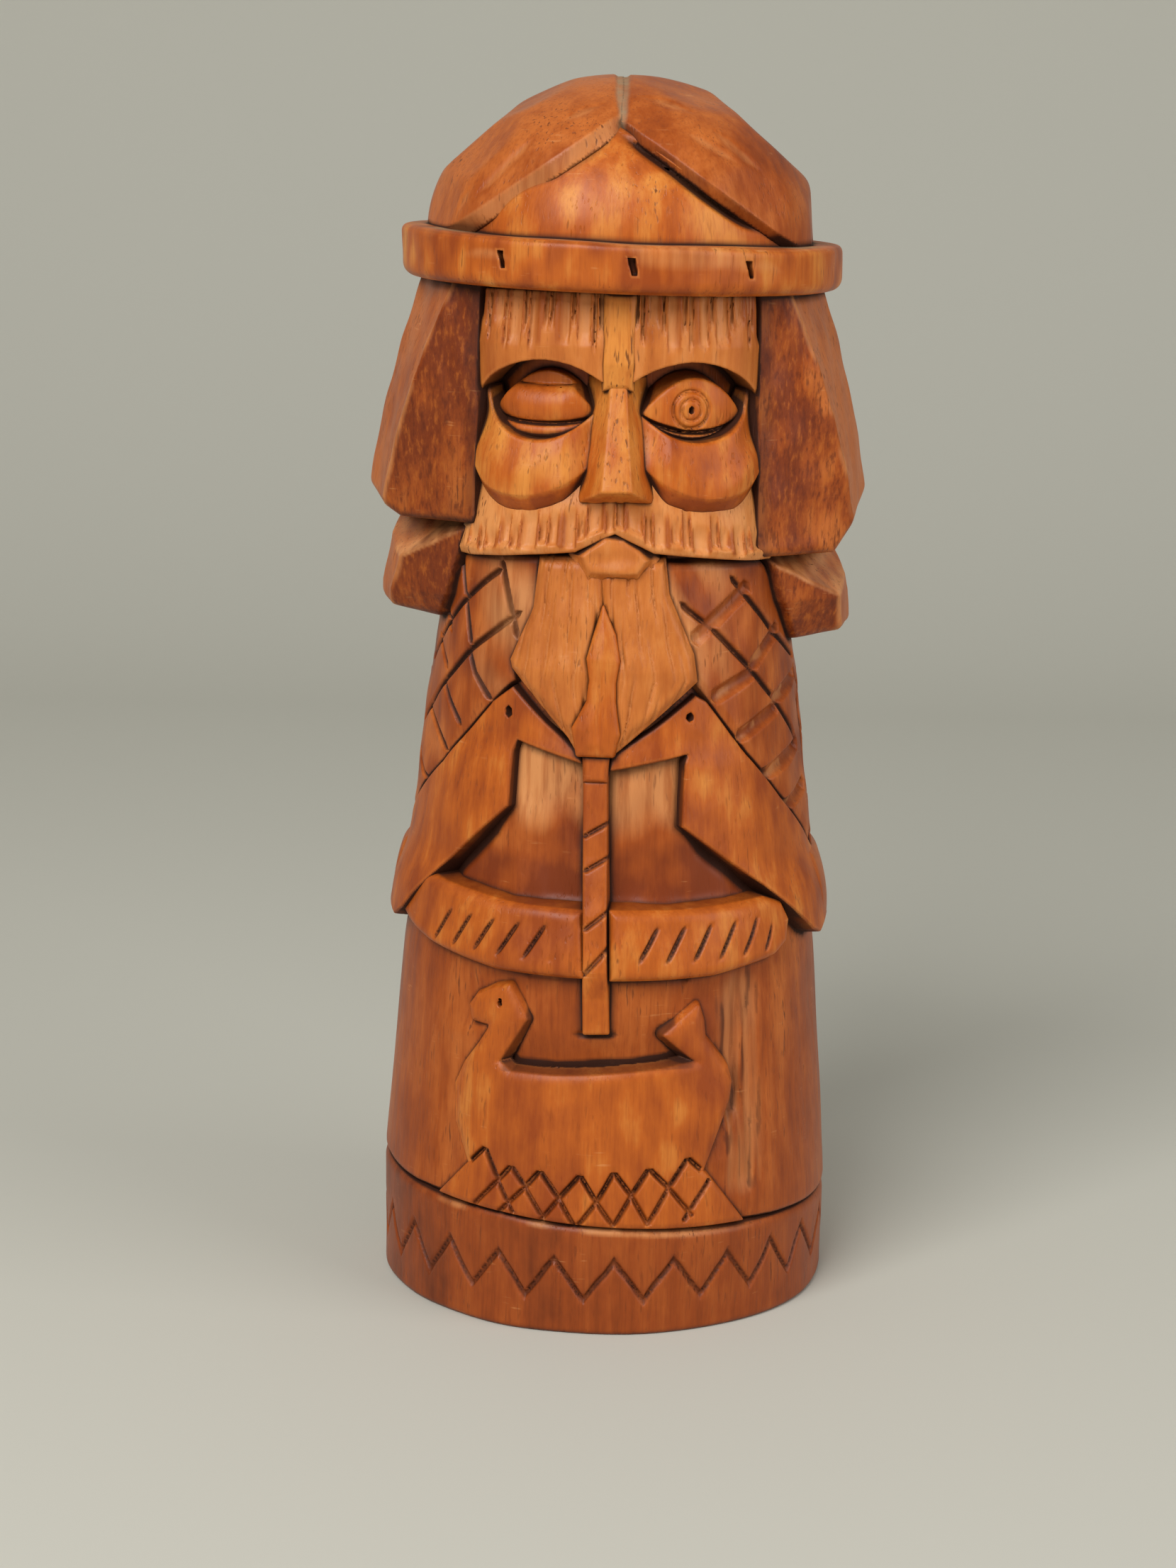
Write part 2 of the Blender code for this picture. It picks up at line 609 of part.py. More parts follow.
def make_beard():
    """Beard in two halves with a pointed lock between them, and the lower lip."""
    tip = LIP_BOTTOM - BEARD_LOCK_TIP_DROP
    shoulder = CREST + BEARD_LOCK_SHOULDER_RISE
    flare = BEAK + BEARD_LOCK_FLARE_RISE
    corner = CREST + BEARD_EDGE_RISE
    lock = [(BEARD_LOCK_FOOT_ANGLE, BEAK), (BEARD_LOCK_FLARE_ANGLE, flare), (BEARD_LOCK_HALF_ANGLE, shoulder)]
    for side, word in ((1, "right"), (-1, "left")):
        top_angle = body(side, BEARD_TOP_HALF_ANGLE)
        half = [(body(side, angle), level) for angle, level in lock[1:]]
        half += [(BODY_TURN, tip), (FACE_TURN, LIP_BOTTOM)]
        half += [(face(side, LIP_FOOT_HALF_ANGLE), LIP_BOTTOM), (face(side, LIP_HALF_ANGLE), MOUTH)]
        half.append((top_angle, moustache_edge(top_angle)))
        half.append((body(side, BEARD_HALF_ANGLE), corner + BEARD_EDGE_HEIGHT))
        half.append((body(side, BEARD_HALF_ANGLE), corner))
        relief("beard_" + word, half, BEARD_PROUD, PALE_WOOD)
    right = [(body(1, angle), level) for angle, level in lock]
    left = [(body(-1, angle), level) for angle, level in reversed(lock)]
    relief("beard_lock", right + [(BODY_TURN, tip)] + left, BEARD_LOCK_PROUD, GOLD_WOOD)
    lip = [(-LIP_FOOT_HALF_ANGLE, LIP_BOTTOM), (LIP_FOOT_HALF_ANGLE, LIP_BOTTOM), (LIP_HALF_ANGLE, MOUTH),
           (0.0, MOUTH + LIP_PEAK), (-LIP_HALF_ANGLE, MOUTH)]
    relief("lower_lip", [(face(1, angle), level) for angle, level in lip], LIP_PROUD, PALE_WOOD)


def cheek_foot(side):
    """Lower edge of a cheek, from the nose to the side of the face."""
    return sweep((face(side, NOSE_HALF_ANGLE), NOSE_BASE),
                 (face(side, FACE_HALF_ANGLE), NOSE_BASE + CHEEK_RISE), -CHEEK_SAG)


def lid(side, bow):
    """Edge of an eye, from its inner to its outer corner."""
    return sweep((face(side, EYE_INNER_ANGLE), EYE), (face(side, EYE_OUTER_ANGLE), EYE), bow)


def cheek_proud(angle, level):
    """A cheek swells from the eye down to its lower edge."""
    share = (level - NOSE_BASE) / (EYE - NOSE_BASE)
    return CHEEK_FOOT_PROUD + (CHEEK_TOP_PROUD - CHEEK_FOOT_PROUD) * min(max(share, 0.0), 1.0)


def make_moustache():
    """Moustache between the nose, the cheeks and the mouth."""
    outline = cheek_foot(1)
    for angle in (FACE_HALF_ANGLE, LIP_HALF_ANGLE, 0.0, -LIP_HALF_ANGLE, -FACE_HALF_ANGLE):
        place = face(1, angle)
        outline.append((place, moustache_edge(place)))
    outline += cheek_foot(-1)[::-1]
    relief("moustache", outline, MOUSTACHE_PROUD, PALE_WOOD)


def make_face_side(side, word, eye_word):
    """Cheek, eye and forehead on one side of the nose."""
    side_angle = face(side, FACE_HALF_ANGLE)
    cheek = cheek_foot(side) + [(side_angle, EYE)] + lid(side, -LID_BOW)[::-1]
    relief("cheek_" + word, cheek, cheek_proud, GOLD_WOOD, soft=True)

    def eye_proud(angle, level):
        middle = (EYE_INNER_ANGLE + EYE_OUTER_ANGLE) / 2.0
        across = (angle - face(side, middle)) / (EYE_OUTER_ANGLE - EYE_INNER_ANGLE)
        return EYE_PROUD * (1.0 - 2.0 * across * across)

    almond = lid(side, LID_BOW) + lid(side, -LID_BOW)[-2:0:-1]
    relief("eye_" + eye_word, almond, eye_proud, GOLD_WOOD, soft=True)
    bar_angle = face(side, BROW_BAR_HALF_ANGLE)
    arch = sweep((bar_angle, BROW_EDGE), (side_angle, BROW_EDGE - BROW_DROOP), BROW_ARCH)
    brow = arch + [(side_angle, BRIM_BOTTOM), (bar_angle, BRIM_BOTTOM)]
    relief("brow_" + word, brow, BROW_PROUD, PALE_WOOD)


def make_nose_and_bar():
    """Wedge nose with a flat front facet, and the upright bar on the forehead over it."""
    root_flat = NOSE_ROOT_HALF_ANGLE * NOSE_FLAT_SHARE
    tip_flat = NOSE_HALF_ANGLE * NOSE_FLAT_SHARE
    tip = [(face(-1, NOSE_HALF_ANGLE), NOSE_WING_PROUD), (face(-1, tip_flat), NOSE_TIP_PROUD),
           (face(1, tip_flat), NOSE_TIP_PROUD), (face(1, NOSE_HALF_ANGLE), NOSE_WING_PROUD)]
    root = [(face(-1, NOSE_ROOT_HALF_ANGLE), NOSE_WING_PROUD), (face(-1, root_flat), NOSE_ROOT_PROUD),
            (face(1, root_flat), NOSE_ROOT_PROUD), (face(1, NOSE_ROOT_HALF_ANGLE), NOSE_WING_PROUD)]
    lofted("nose", [(NOSE_BASE + JOINT, tip), (BROW_EDGE - JOINT, root)], GOLD_WOOD)
    left, right = face(-1, BROW_BAR_HALF_ANGLE), face(1, BROW_BAR_HALF_ANGLE)
    bar = [(left, BROW_EDGE), (right, BROW_EDGE), (right, BRIM_BOTTOM), (left, BRIM_BOTTOM)]
    relief("brow_bar", bar, BROW_BAR_PROUD, GOLD_WOOD)


def make_locks(side, word):
    """Upper and lower hair lock beside the face, each with a front facet and a side facet."""
    def row(level, points, shift=0.0):
        return (level, [(face(side, angle), proud - shift) for angle, proud in points])

    def facets(front, ridge, front_proud, proud):
        return [(front, front_proud), (ridge, proud - LOCK_RIDGE_DROP), (LOCK_SIDE_ANGLE, proud),
                (LOCK_BACK_ANGLE, proud)]

    lock_foot, lower_lock_foot = lock_feet(side)
    front = FACE_HALF_ANGLE + LOCK_GAP_ANGLE
    foot = facets(front, LOCK_RIDGE_FOOT_ANGLE, LOCK_FRONT_PROUD, LOCK_FOOT_PROUD)
    top = facets(front, LOCK_RIDGE_TOP_ANGLE, LOCK_FRONT_PROUD, LOCK_TOP_PROUD)
    lofted("lock_upper_" + word, [
        row(lock_foot, foot, LOCK_FOOT_CHAMFER),
        row(lock_foot + LOCK_FOOT_CHAMFER, foot),
        row(BRIM_BOTTOM - JOINT, top),
    ], MID_WOOD)
    low, high = lower_lock_foot + JOINT, lock_foot - JOINT
    lower_foot = facets(LOWER_LOCK_FOOT_ANGLE, LOWER_LOCK_FOOT_RIDGE_ANGLE,
                        LOWER_LOCK_FRONT_PROUD, LOWER_LOCK_FOOT_PROUD)
    lower_top = facets(LOWER_LOCK_TOP_ANGLE, LOWER_LOCK_RIDGE_ANGLE, LOCK_FRONT_PROUD, LOWER_LOCK_TOP_PROUD)
    share = 1.0 - LOWER_LOCK_SHOULDER / (high - low)
    shoulder = [between(one, two, share) for one, two in zip(lower_foot, lower_top)]
    sloped = lower_top[:1] + [(angle, proud - LOWER_LOCK_SHOULDER_INSET) for angle, proud in lower_top[1:]]
    lofted("lock_lower_" + word, [
        row(low, lower_foot),
        row(high - LOWER_LOCK_SHOULDER, shoulder),
        row(high, sloped),
    ], MID_WOOD)


def make_back_hair():
    """Two tiers of ridged locks across the back of the head, with a notch between neighbours."""
    first = face(1, LOCK_BACK_ANGLE) + LOCK_GAP_ANGLE
    last = face(-1, LOCK_BACK_ANGLE) + 360.0 - LOCK_GAP_ANGLE
    facets = 2 * BACK_LOCKS

    def row(level, proud):
        points = []
        for step in range(facets + 1):
            depth = 0.0 if step % 2 else BACK_NOTCH
            points.append((first + (last - first) * step / facets, proud - depth))
        return (level, points)

    lofted("hair_upper_back", [
        row(BACK_HAIR_FOOT, LOCK_FOOT_PROUD - LOCK_FOOT_CHAMFER),
        row(BACK_HAIR_FOOT + LOCK_FOOT_CHAMFER, LOCK_FOOT_PROUD),
        row(BRIM_BOTTOM - JOINT, LOCK_TOP_PROUD),
    ], MID_WOOD)
    lofted("hair_lower_back", [
        row(LOWER_LOCK_FOOT + JOINT, LOWER_LOCK_FOOT_PROUD),
        row(BACK_HAIR_FOOT - JOINT, LOWER_LOCK_TOP_PROUD),
    ], MID_WOOD)


def dome(radius, height):
    """Profile of the helmet's crown, from its rim to just under its top."""
    profile = []
    for step in range(CROWN_RINGS):
        rise = math.sin(0.5 * math.pi * step / CROWN_RINGS)
        level = BRIM_TOP + JOINT + rise * (height - JOINT)
        profile.append((radius * math.sqrt(1.0 - rise ** CROWN_POWER), level))
    profile.append((CROWN_FLAT_RADIUS, BRIM_TOP + height))
    return profile


def make_helmet():
    """Brim, crown, and the two raised plates that leave a triangle bare at the front and back."""
    inner = BRIM_RADIUS - BRIM_ROUNDING
    turned("helmet_brim", [(inner, BRIM_BOTTOM), (BRIM_RADIUS, BRIM_BOTTOM + BRIM_ROUNDING),
                           (BRIM_RADIUS, BRIM_TOP - BRIM_ROUNDING), (inner, BRIM_TOP)], GOLD_WOOD)
    core_radius = CROWN_RADIUS - PLATE_THICKNESS
    core_height = CROWN_HEIGHT - PLATE_THICKNESS
    turned("helmet_crown", dome(core_radius, core_height), GOLD_WOOD)
    hollow_rim = (core_radius + JOINT, BRIM_BOTTOM)
    hollow = turned("plate_hollow", [hollow_rim] + dome(core_radius + JOINT, core_height + JOINT), MID_WOOD)
    for side, word in ((1, "right"), (-1, "left")):
        plate = turned("helmet_plate_" + word, dome(CROWN_RADIUS, CROWN_HEIGHT), MID_WOOD)
        cut(plate, hollow)
        cut(plate, make_panel_cutter(side, word))


def make_panel_cutter(side, word):
    """Everything outside one helmet plate: the triangle front and back, and the other half."""
    apex = BRIM_TOP + CROWN_HEIGHT - HELMET_APEX_DROP
    slope = RIDGE_HALF_WIDTH / (apex - BRIM_TOP)
    below = BRIM_TOP - BRIM_HEIGHT
    above = BRIM_TOP + 2.0 * CROWN_HEIGHT
    seam = PLATE_SEAM / 2.0
    reach = 2.0 * CROWN_RADIUS
    outline = [(-reach, below), ((apex - below) * slope, below), (seam, apex - seam / slope), (seam, above),
               (-reach, above)]
    middle = CROWN_RADIUS * math.sin(math.radians(FACE_TURN))
    bm = bmesh.new()
    rows = [[(middle + side * x, y, level) for x, level in outline] for y in (-reach, reach)]
    add_closed_grid(bm, rows)
    return add_solid("panel_cutter_" + word, bm, MID_WOOD)


def main():
    """Builds the whole figurine."""
    for obj in list(bpy.data.objects):
        bpy.data.objects.remove(obj, do_unlink=True)
    figure = bpy.data.objects.new("figurine", None)
    bpy.context.collection.objects.link(figure)
    make_foot_and_trunk()
    make_ship()
    make_spear()
    make_back()
    make_beard()
    make_moustache()
    make_nose_and_bar()
    make_back_hair()
    make_helmet()
    for side, word, eye_word in ((1, "right", "open"), (-1, "left", "closed")):
        make_chest(side, word)
        make_face_side(side, word, eye_word)
        make_locks(side, word)


main()
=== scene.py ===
"""Looks of the carved wooden figurine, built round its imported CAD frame.

Shapes are carved as distance fields in millimetres: a field is negative inside the wood and
positive outside it. Each field becomes one mesh, which stands for one CAD node.
An angle is in degrees round the Z axis, 0 at the front (-Y) and positive towards +X.
A level is a height above the floor. Rise is the height of a place above the trunk's ground.
"""

import json
import math

import bpy
import numpy as np
from mathutils import Matrix


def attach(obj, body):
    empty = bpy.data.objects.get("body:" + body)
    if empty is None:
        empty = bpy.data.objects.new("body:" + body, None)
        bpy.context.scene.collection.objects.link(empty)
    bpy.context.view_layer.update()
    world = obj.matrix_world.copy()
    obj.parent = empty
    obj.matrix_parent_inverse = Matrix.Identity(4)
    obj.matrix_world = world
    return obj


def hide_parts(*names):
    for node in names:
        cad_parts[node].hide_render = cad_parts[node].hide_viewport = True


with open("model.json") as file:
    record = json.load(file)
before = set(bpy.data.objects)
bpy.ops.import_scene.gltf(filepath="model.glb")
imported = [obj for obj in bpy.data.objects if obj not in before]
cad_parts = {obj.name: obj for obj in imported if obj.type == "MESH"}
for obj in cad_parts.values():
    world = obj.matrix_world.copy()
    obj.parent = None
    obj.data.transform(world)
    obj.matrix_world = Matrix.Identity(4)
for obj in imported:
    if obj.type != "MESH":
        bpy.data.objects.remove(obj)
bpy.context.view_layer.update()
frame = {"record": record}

MM = 0.001

# The body is carved a little to the left of the axis, and so is the face
BODY_TURN = -5.0
FACE_TURN = -1.0

# Levels of the main carved lines
GROOVE = 27.6
GROOVE_TILT = 0.055
BELT_BOTTOM = 89.5
BELT_TOP = 105.0
BEAK = 142.0
MOUTH = 190.0
NOSE_BASE = 203.0
EYE = 221.5
BROW_EDGE = 230.0
BRIM_BOTTOM = 250.5
BRIM_TOP = 262.0
TOP = 300.0

# Feet of the hair locks on the left (-1) and the right (1), and of the hair across the back
LOCK_FOOT = {-1: 194.3, 1: 187.6}
LOWER_LOCK_FOOT = {-1: 169.6, 1: 165.2}
BACK_HAIR_FOOT = 191.0
BACK_LOWER_FOOT = 166.0

# Radii
FOOT_RADIUS = 56.5
HEAD_RADIUS = 37.5
BRIM_RADIUS = 53.5
CROWN_RADIUS = 47.5
HEAD_SQUARENESS = 2.6

# Radii at which the reliefs are unrolled, and the length of one degree on three of them
SHIP_RADIUS = 55.0
BELT_RADIUS = 53.0
BELT_BACK_RADIUS = 54.0
BODY_RADIUS = 50.0
BEARD_RADIUS = 47.0
FACE_RADIUS = 44.0
SHIP_UNIT = math.radians(1.0) * SHIP_RADIUS
BODY_UNIT = math.radians(1.0) * BODY_RADIUS
FACE_UNIT = math.radians(1.0) * FACE_RADIUS

# Grid steps of the carved meshes, the steps in a rough block, and the places worked out at a time
FINE = 0.42
PLAIN = 0.6
COARSE = 0.8
BLOCK = 4
CHUNK = 120000
QUICK_FACTOR = 1.0

# The trunk's ground radius, smoothed over a few millimetres
LEVELS = np.arange(-10.0, 311.0)
RING_LEVELS = [-10.0, 27.0, BELT_BOTTOM, BELT_TOP, BEAK, MOUTH, 310.0]
RING_RADII = [FOOT_RADIUS, FOOT_RADIUS, 51.5, 48.5, 44.0, HEAD_RADIUS, HEAD_RADIUS]
ROUGH_RADII = np.interp(LEVELS, RING_LEVELS, RING_RADII)
RADII = np.convolve(np.pad(ROUGH_RADII, 5, mode="edge"), np.ones(11) / 11.0, "valid")

# How much further than a circle a rounded square reaches, over a quarter turn
QUARTER = np.linspace(0.0, 90.0, 91)
QUARTER_TURN = np.radians(QUARTER)
QUARTER_SPREAD = np.cos(QUARTER_TURN) ** HEAD_SQUARENESS + np.sin(QUARTER_TURN) ** HEAD_SQUARENESS
SQUARE = QUARTER_SPREAD ** (-1.0 / HEAD_SQUARENESS) - 1.0


def limited(value):
    """Value kept between 0 and 1."""
    return np.clip(value, 0.0, 1.0)


def falling(value, reach):
    """Falls straight from 1 at 0 to 0 at reach."""
    return limited(1.0 - value / reach)


def peak(value, reach):
    """1 where a value is 0, falling straight to 0 at reach on both sides."""
    return falling(np.abs(value), reach)


def half_circle(value):
    """1 where a value is 0, falling in a half circle to 0 at -1 and 1."""
    return np.sqrt(limited(1.0 - value ** 2))


def swing(angle):
    """The same angle between -180 and 180 degrees."""
    return (angle + 180.0) % 360.0 - 180.0


def off_whole(value):
    """How far a value lies from the nearest whole number."""
    return (value + 0.5) % 1.0 - 0.5


def ground(level, angle):
    """Radius of the trunk's ground: round at the foot, a rounded square at the head."""
    head = limited((level - BEAK) / (MOUTH - BEAK))
    return np.interp(level, LEVELS, RADII) * (1.0 + head * np.interp(angle % 90.0, QUARTER, SQUARE))


class Points:
    """Places in millimetres with their angle, radius and rise."""

    def __init__(self, places):
        self.x, self.y, self.z = np.ascontiguousarray(places.T)
        self.angle = np.degrees(np.arctan2(self.x, -self.y))
        self.radius = np.hypot(self.x, self.y)
        self.rise = self.radius - ground(self.z, self.angle)

    def pick(self, chosen):
        """The same facts for some of the places."""
        part = Points.__new__(Points)
        for name, values in vars(self).items():
            setattr(part, name, values[chosen])
        return part


def ease(value, low, high):
    """Rises smoothly from 0 at low to 1 at high."""
    share = limited((value - low) / (high - low))
    return share * share * (3.0 - 2.0 * share)


def soft_max(first, second, radius):
    """Larger of two distances, with the corner between them rounded."""
    blend = np.maximum(radius - np.abs(first - second), 0.0)
    return np.maximum(first, second) + blend * blend / (4.0 * radius)


def wobble(p, size, seed, tall=1.0):
    """Smooth, repeatable unevenness of about -1 to 1, with bumps of a given size, drawn out upwards."""
    dice = np.random.default_rng(seed)
    total = 0.0
    for _ in range(5):
        way = dice.normal(size=3)
        way *= 2.0 * math.pi / (size * np.linalg.norm(way) * dice.uniform(0.8, 1.6))
        total = total + np.sin(p.x * way[0] + p.y * way[1] + p.z * way[2] / tall + dice.uniform(0.0, 6.28))
    return total / 2.5


def outline_distance(x, y, outline):
    """Distance to a closed outline, negative inside."""
    nearest = np.full(x.shape, 1e9)
    inside = np.zeros(x.shape, bool)
    for (x0, y0), (x1, y1) in zip(outline, outline[1:] + outline[:1]):
        dx, dy = x1 - x0, y1 - y0
        off_x, off_y = x - x0, y - y0
        share = limited((off_x * dx + off_y * dy) / (dx * dx + dy * dy))
        nearest = np.minimum(nearest, (off_x - share * dx) ** 2 + (off_y - share * dy) ** 2)
        spans = (y0 <= y) != (y1 <= y)
        safe = np.where(np.abs(dy) < 1e-9, 1e-9, dy)
        inside ^= spans & (off_x < off_y * dx / safe)
    return np.where(inside, -1.0, 1.0) * np.sqrt(nearest)


def scaled(outline, unit):
    """Outline with its angles in millimetres."""
    return [(angle * unit, level) for angle, level in outline]


def cut_share(x, y, path, width, fade, flat=False):
    """Share of full depth of a cut along a path: a V from a knife, or a flatter one from a gouge."""
    deepest = np.zeros(x.shape)
    total = sum(math.dist(one, two) for one, two in zip(path, path[1:]))
    run = 0.0
    for (x0, y0), (x1, y1) in zip(path, path[1:]):
        length = math.dist((x0, y0), (x1, y1))
        way_x, way_y = (x1 - x0) / length, (y1 - y0) / length
        along = np.clip((x - x0) * way_x + (y - y0) * way_y, 0.0, length)
        away = np.hypot(x - x0 - along * way_x, y - y0 - along * way_y)
        ends = np.clip(np.minimum(run + along, total - run - along) / fade, 0.12, 1.0)
        across = falling(2.0 * away, width * ends)
        if flat:
            across = 1.0 - (1.0 - across) ** 2
        deepest = np.maximum(deepest, ends * across)
        run += length
    return deepest


def deepest_cut(angle, level, paths, unit, width, fade, flat=False):
    """Share of full depth of the deepest of several cuts; unit is the length of one degree."""
    share = np.zeros(angle.shape)
    for path in paths:
        share = np.maximum(share, cut_share(angle * unit, level, scaled(path, unit), width, fade, flat))
    return share


class Piece:
    """One carved region: its field, its box, its grid step and its marks.

    A mark is a number or a function of places. Tone is how light the stain is, darkened by painted
    shade in places, and mottle how uneven, fresh is pale newly cut wood, grainy is end grain, grime
    is dirt and painted shade, dust is grey dust, walls paints shade on steep sides and soot scales
    the painted recess shade.
    """

    def __init__(self, name, field, box, step, **marks):
        self.name = name
        self.field = field
        self.low = np.array(box[0], float)
        self.high = np.array(box[1], float)
        self.step = step * QUICK_FACTOR
        self.marks = marks

    def mark(self, kind, places, otherwise=0.0):
        """Value of one mark at each place."""
        value = self.marks.get(kind, otherwise)
        if callable(value):
            return in_chunks(value, places)
        return np.full(len(places), value)


PIECES = {}


def add_piece(name, field, box, step, **marks):
    """Keeps a carved region for meshing."""
    PIECES[name] = Piece(name, field, box, step, **marks)


def relief_box(first, last, bottom, top, tallest, sink, spread):
    """Box round a region of the trunk's surface, with room for walls that spread."""
    angles, levels = np.meshgrid(np.linspace(first, last, 40), np.linspace(bottom, top, 20))
    angles, levels = angles.ravel(), levels.ravel()
    corners = []
    for rise in (-sink - 1.5, tallest + 1.5):
        radius = ground(levels, angles) + rise
        turn = np.radians(angles)
        corners.append(np.stack([radius * np.sin(turn), -radius * np.cos(turn), levels], 1))
    corners = np.concatenate(corners)
    return corners.min(0) - 2.5 - spread, corners.max(0) + 2.5 + spread


def add_relief(name, turn, outline, height, tallest, reference, step=FINE, slant=0.2, edge=0.7, sink=2.5,
               walls=1.0, **marks):
    """Region carved proud of the trunk.

    The outline is in (angle from turn, level). Height gives the rise of the surface from the
    unrolled place and the distance to the outline, and so does a mark that is a function.
    The walls spread by slant as they go down. Reference is the radius at which it is unrolled.
    """
    angles = [angle for angle, level in outline]
    levels = [level for angle, level in outline]
    unit = math.radians(1.0) * reference
    flat = scaled(outline, unit)
    centre = 0.5 * (min(angles) + max(angles))

    def unrolled(p):
        return (swing(p.angle - turn - centre) + centre) * unit

    def field(p):
        across = unrolled(p)
        rim = outline_distance(across, p.z, flat)
        top = p.rise - height(across / unit, p.z, -rim, p)
        wall = rim + slant * (p.rise - tallest)
        return np.maximum(0.9 * soft_max(top, wall, edge), -sink - p.rise)

    def wrapped(mark):
        def on_surface(p):
            across = unrolled(p)
            return mark(across / unit, p.z, -outline_distance(across, p.z, flat), p)
        return on_surface if callable(mark) else mark

    spread = abs(slant) * (tallest + sink)
    box = relief_box(turn + min(angles), turn + max(angles), min(levels), max(levels), tallest, sink, spread)
    add_piece(name, field, box, step, walls=walls, **{kind: wrapped(mark) for kind, mark in marks.items()})


def marked(cut, most, low=0.0, high=0.0):
    """Mark that grows to its most with the share of a cut: in step with it, or smoothly from low to high."""
    def mark(angle, level, inside, p):
        share = cut(angle, level)
        return most * (ease(share, low, high) if high else share)
    return mark


def mirrored(outline, side):
    """Outline on the right (1) or the left (-1) side."""
    return [(side * angle, level) for angle, level in outline]


def arc(start, end, bow, count=12):
    """Points from start to end on a parabola that rises by bow in the middle."""
    points = []
    for index in range(count + 1):
        share = index / count
        angle = start[0] + (end[0] - start[0]) * share
        level = start[1] + (end[1] - start[1]) * share
        points.append((angle, level + 4.0 * bow * share * (1.0 - share)))
    return points


# Foot, skirt and ship

WAVE_LINE = [(-27.0, 44.5), (-22.8, 37.0), (-19.3, 41.0), (-15.3, 36.3), (-11.6, 40.8), (-6.5, 34.4),
             (-1.4, 40.5), (2.8, 34.0), (7.0, 41.5), (11.4, 35.7), (15.8, 42.2), (20.8, 37.3), (25.9, 44.2)]

# Feet of the cuts that run down to the right and to the left from the crests of that line
RIGHT_FEET = [(-18.0, 29.0), (-9.9, 28.6), (-2.4, 27.6), (7.4, 27.6), (15.8, 28.0), (27.2, 29.6)]
LEFT_FEET = [(-29.7, 29.5), (-22.6, 28.8), (-11.3, 28.2), (-1.8, 27.8), (7.0, 28.0), (15.3, 28.2)]
WAVE_CUTS = [[(32.0, 38.6), (27.6, 33.0), (24.4, 28.4)], [WAVE_LINE[0], (-31.4, 40.1)],
             [WAVE_LINE[-1], (29.7, 40.7)]]
for number, (right_foot, left_foot) in enumerate(zip(RIGHT_FEET, LEFT_FEET)):
    crest, trough, next_crest = WAVE_LINE[2 * number:2 * number + 3]
    WAVE_CUTS += [[crest, trough, right_foot], [next_crest, trough, left_foot]]
WAVE_CUT_DEPTH = 1.4
PROW = [(-24.6, 66.3), (-17.4, 77.4), (-22.4, 84.8), (-26.8, 83.6), (-32.4, 80.9), (-34.4, 78.4),
        (-33.3, 75.6), (-27.6, 75.2), (-27.8, 73.4), (-30.8, 69.0), (-35.2, 63.6), (-38.0, 58.0),
        (-37.0, 49.0), (-31.5, 39.6)]
PROW_EYE = [(-24.8, 81.6), (-24.5, 79.4)]
STERN = [(29.7, 40.8), (34.0, 50.0), (37.4, 57.3), (38.4, 61.6), (37.4, 65.4), (30.8, 73.2), (30.4, 77.4),
         (29.2, 81.0), (19.8, 74.8), (28.7, 67.7)]
RAIL = [(18.6, 66.2), (2.1, 64.9), (-9.5, 64.1), (-21.0, 63.9)]
SHIP = PROW + WAVE_LINE + STERN + RAIL
WAVES = [(-41.0, 30.4), (-20.0, 29.5), (0.0, 28.4), (20.0, 27.4), (41.5, 26.7), (31.2, 39.3)]
WAVES += WAVE_LINE[::-1]
SHIP_AND_WAVES = PROW[1:-1] + WAVES[:6] + STERN[:-2]
DECK = [(-24.6, 66.3), (-17.4, 78.0), (-18.0, 89.0), (27.0, 89.0), (22.0, 75.4), (28.7, 67.7)]
DECK += RAIL


def groove_level(p):
    """Level of the ring groove, which runs a little higher on the left."""
    return GROOVE - GROOVE_TILT * p.x + 0.25 * wobble(p, 30.0, 5)


def ship_angle(p):
    """Angle from the middle of the ship."""
    return swing(p.angle - BODY_TURN)


def ship_across(p):
    """Unrolled place across the skirt, counted from the middle of the ship."""
    return ship_angle(p) * SHIP_UNIT


# The zigzag round the foot: its teeth, their foot, height and slope, and the cut's depth and half width
PLINTH_TEETH = 24
TOOTH_FOOT = 9.0
TOOTH_HEIGHT = 10.0
TOOTH_SLOPE = 2.1
ZIGZAG_DEPTH = 1.1
ZIGZAG_HALF = 0.85


def zigzag(p):
    """Share of the zigzag knife cut round the foot."""
    turn = (p.angle - BODY_TURN) / 360.0 * PLINTH_TEETH
    tooth = np.abs(off_whole(turn)) * 2.0
    off = (p.z - TOOTH_FOOT - TOOTH_HEIGHT * tooth) / TOOTH_SLOPE
    return peak(off + 0.1 * wobble(p, 8.0, 50), ZIGZAG_HALF)


def plinth_field(p):
    """Foot below the ring groove, with a zigzag knife cut round it."""
    side = p.radius - FOOT_RADIUS + 0.25 * (1.0 - wobble(p, 24.0, 2)) + ZIGZAG_DEPTH * zigzag(p)
    body = soft_max(side, p.z - groove_level(p) + 0.25, 2.8)
    return soft_max(body, 0.02 - p.z, 1.6)


def plinth_fresh(p):
    """Pale worn stretches of the upper edge, at the front."""
    edge = ease(p.z - groove_level(p), -2.6, -1.5)
    patchy = ease(wobble(p, 14.0, 9), -0.8, 0.4) * ease(np.abs(p.angle + 6.0), 55.0, 25.0)
    return 0.7 * edge * patchy


def plinth_grime(p):
    """Painted shade in the zigzag and the groove, and painted shade with some dirt along the bottom edge."""
    groove = 0.42 * ease(p.z - groove_level(p), -1.1, -0.5)
    return 0.38 * ease(zigzag(p), 0.05, 0.6) + groove + 0.16 * ease(p.z, 4.0, 0.5)


def plinth_tone(p):
    """Darker on the left: painted shade."""
    return 0.55 - 0.35 * ease(p.angle, -20.0, -75.0)


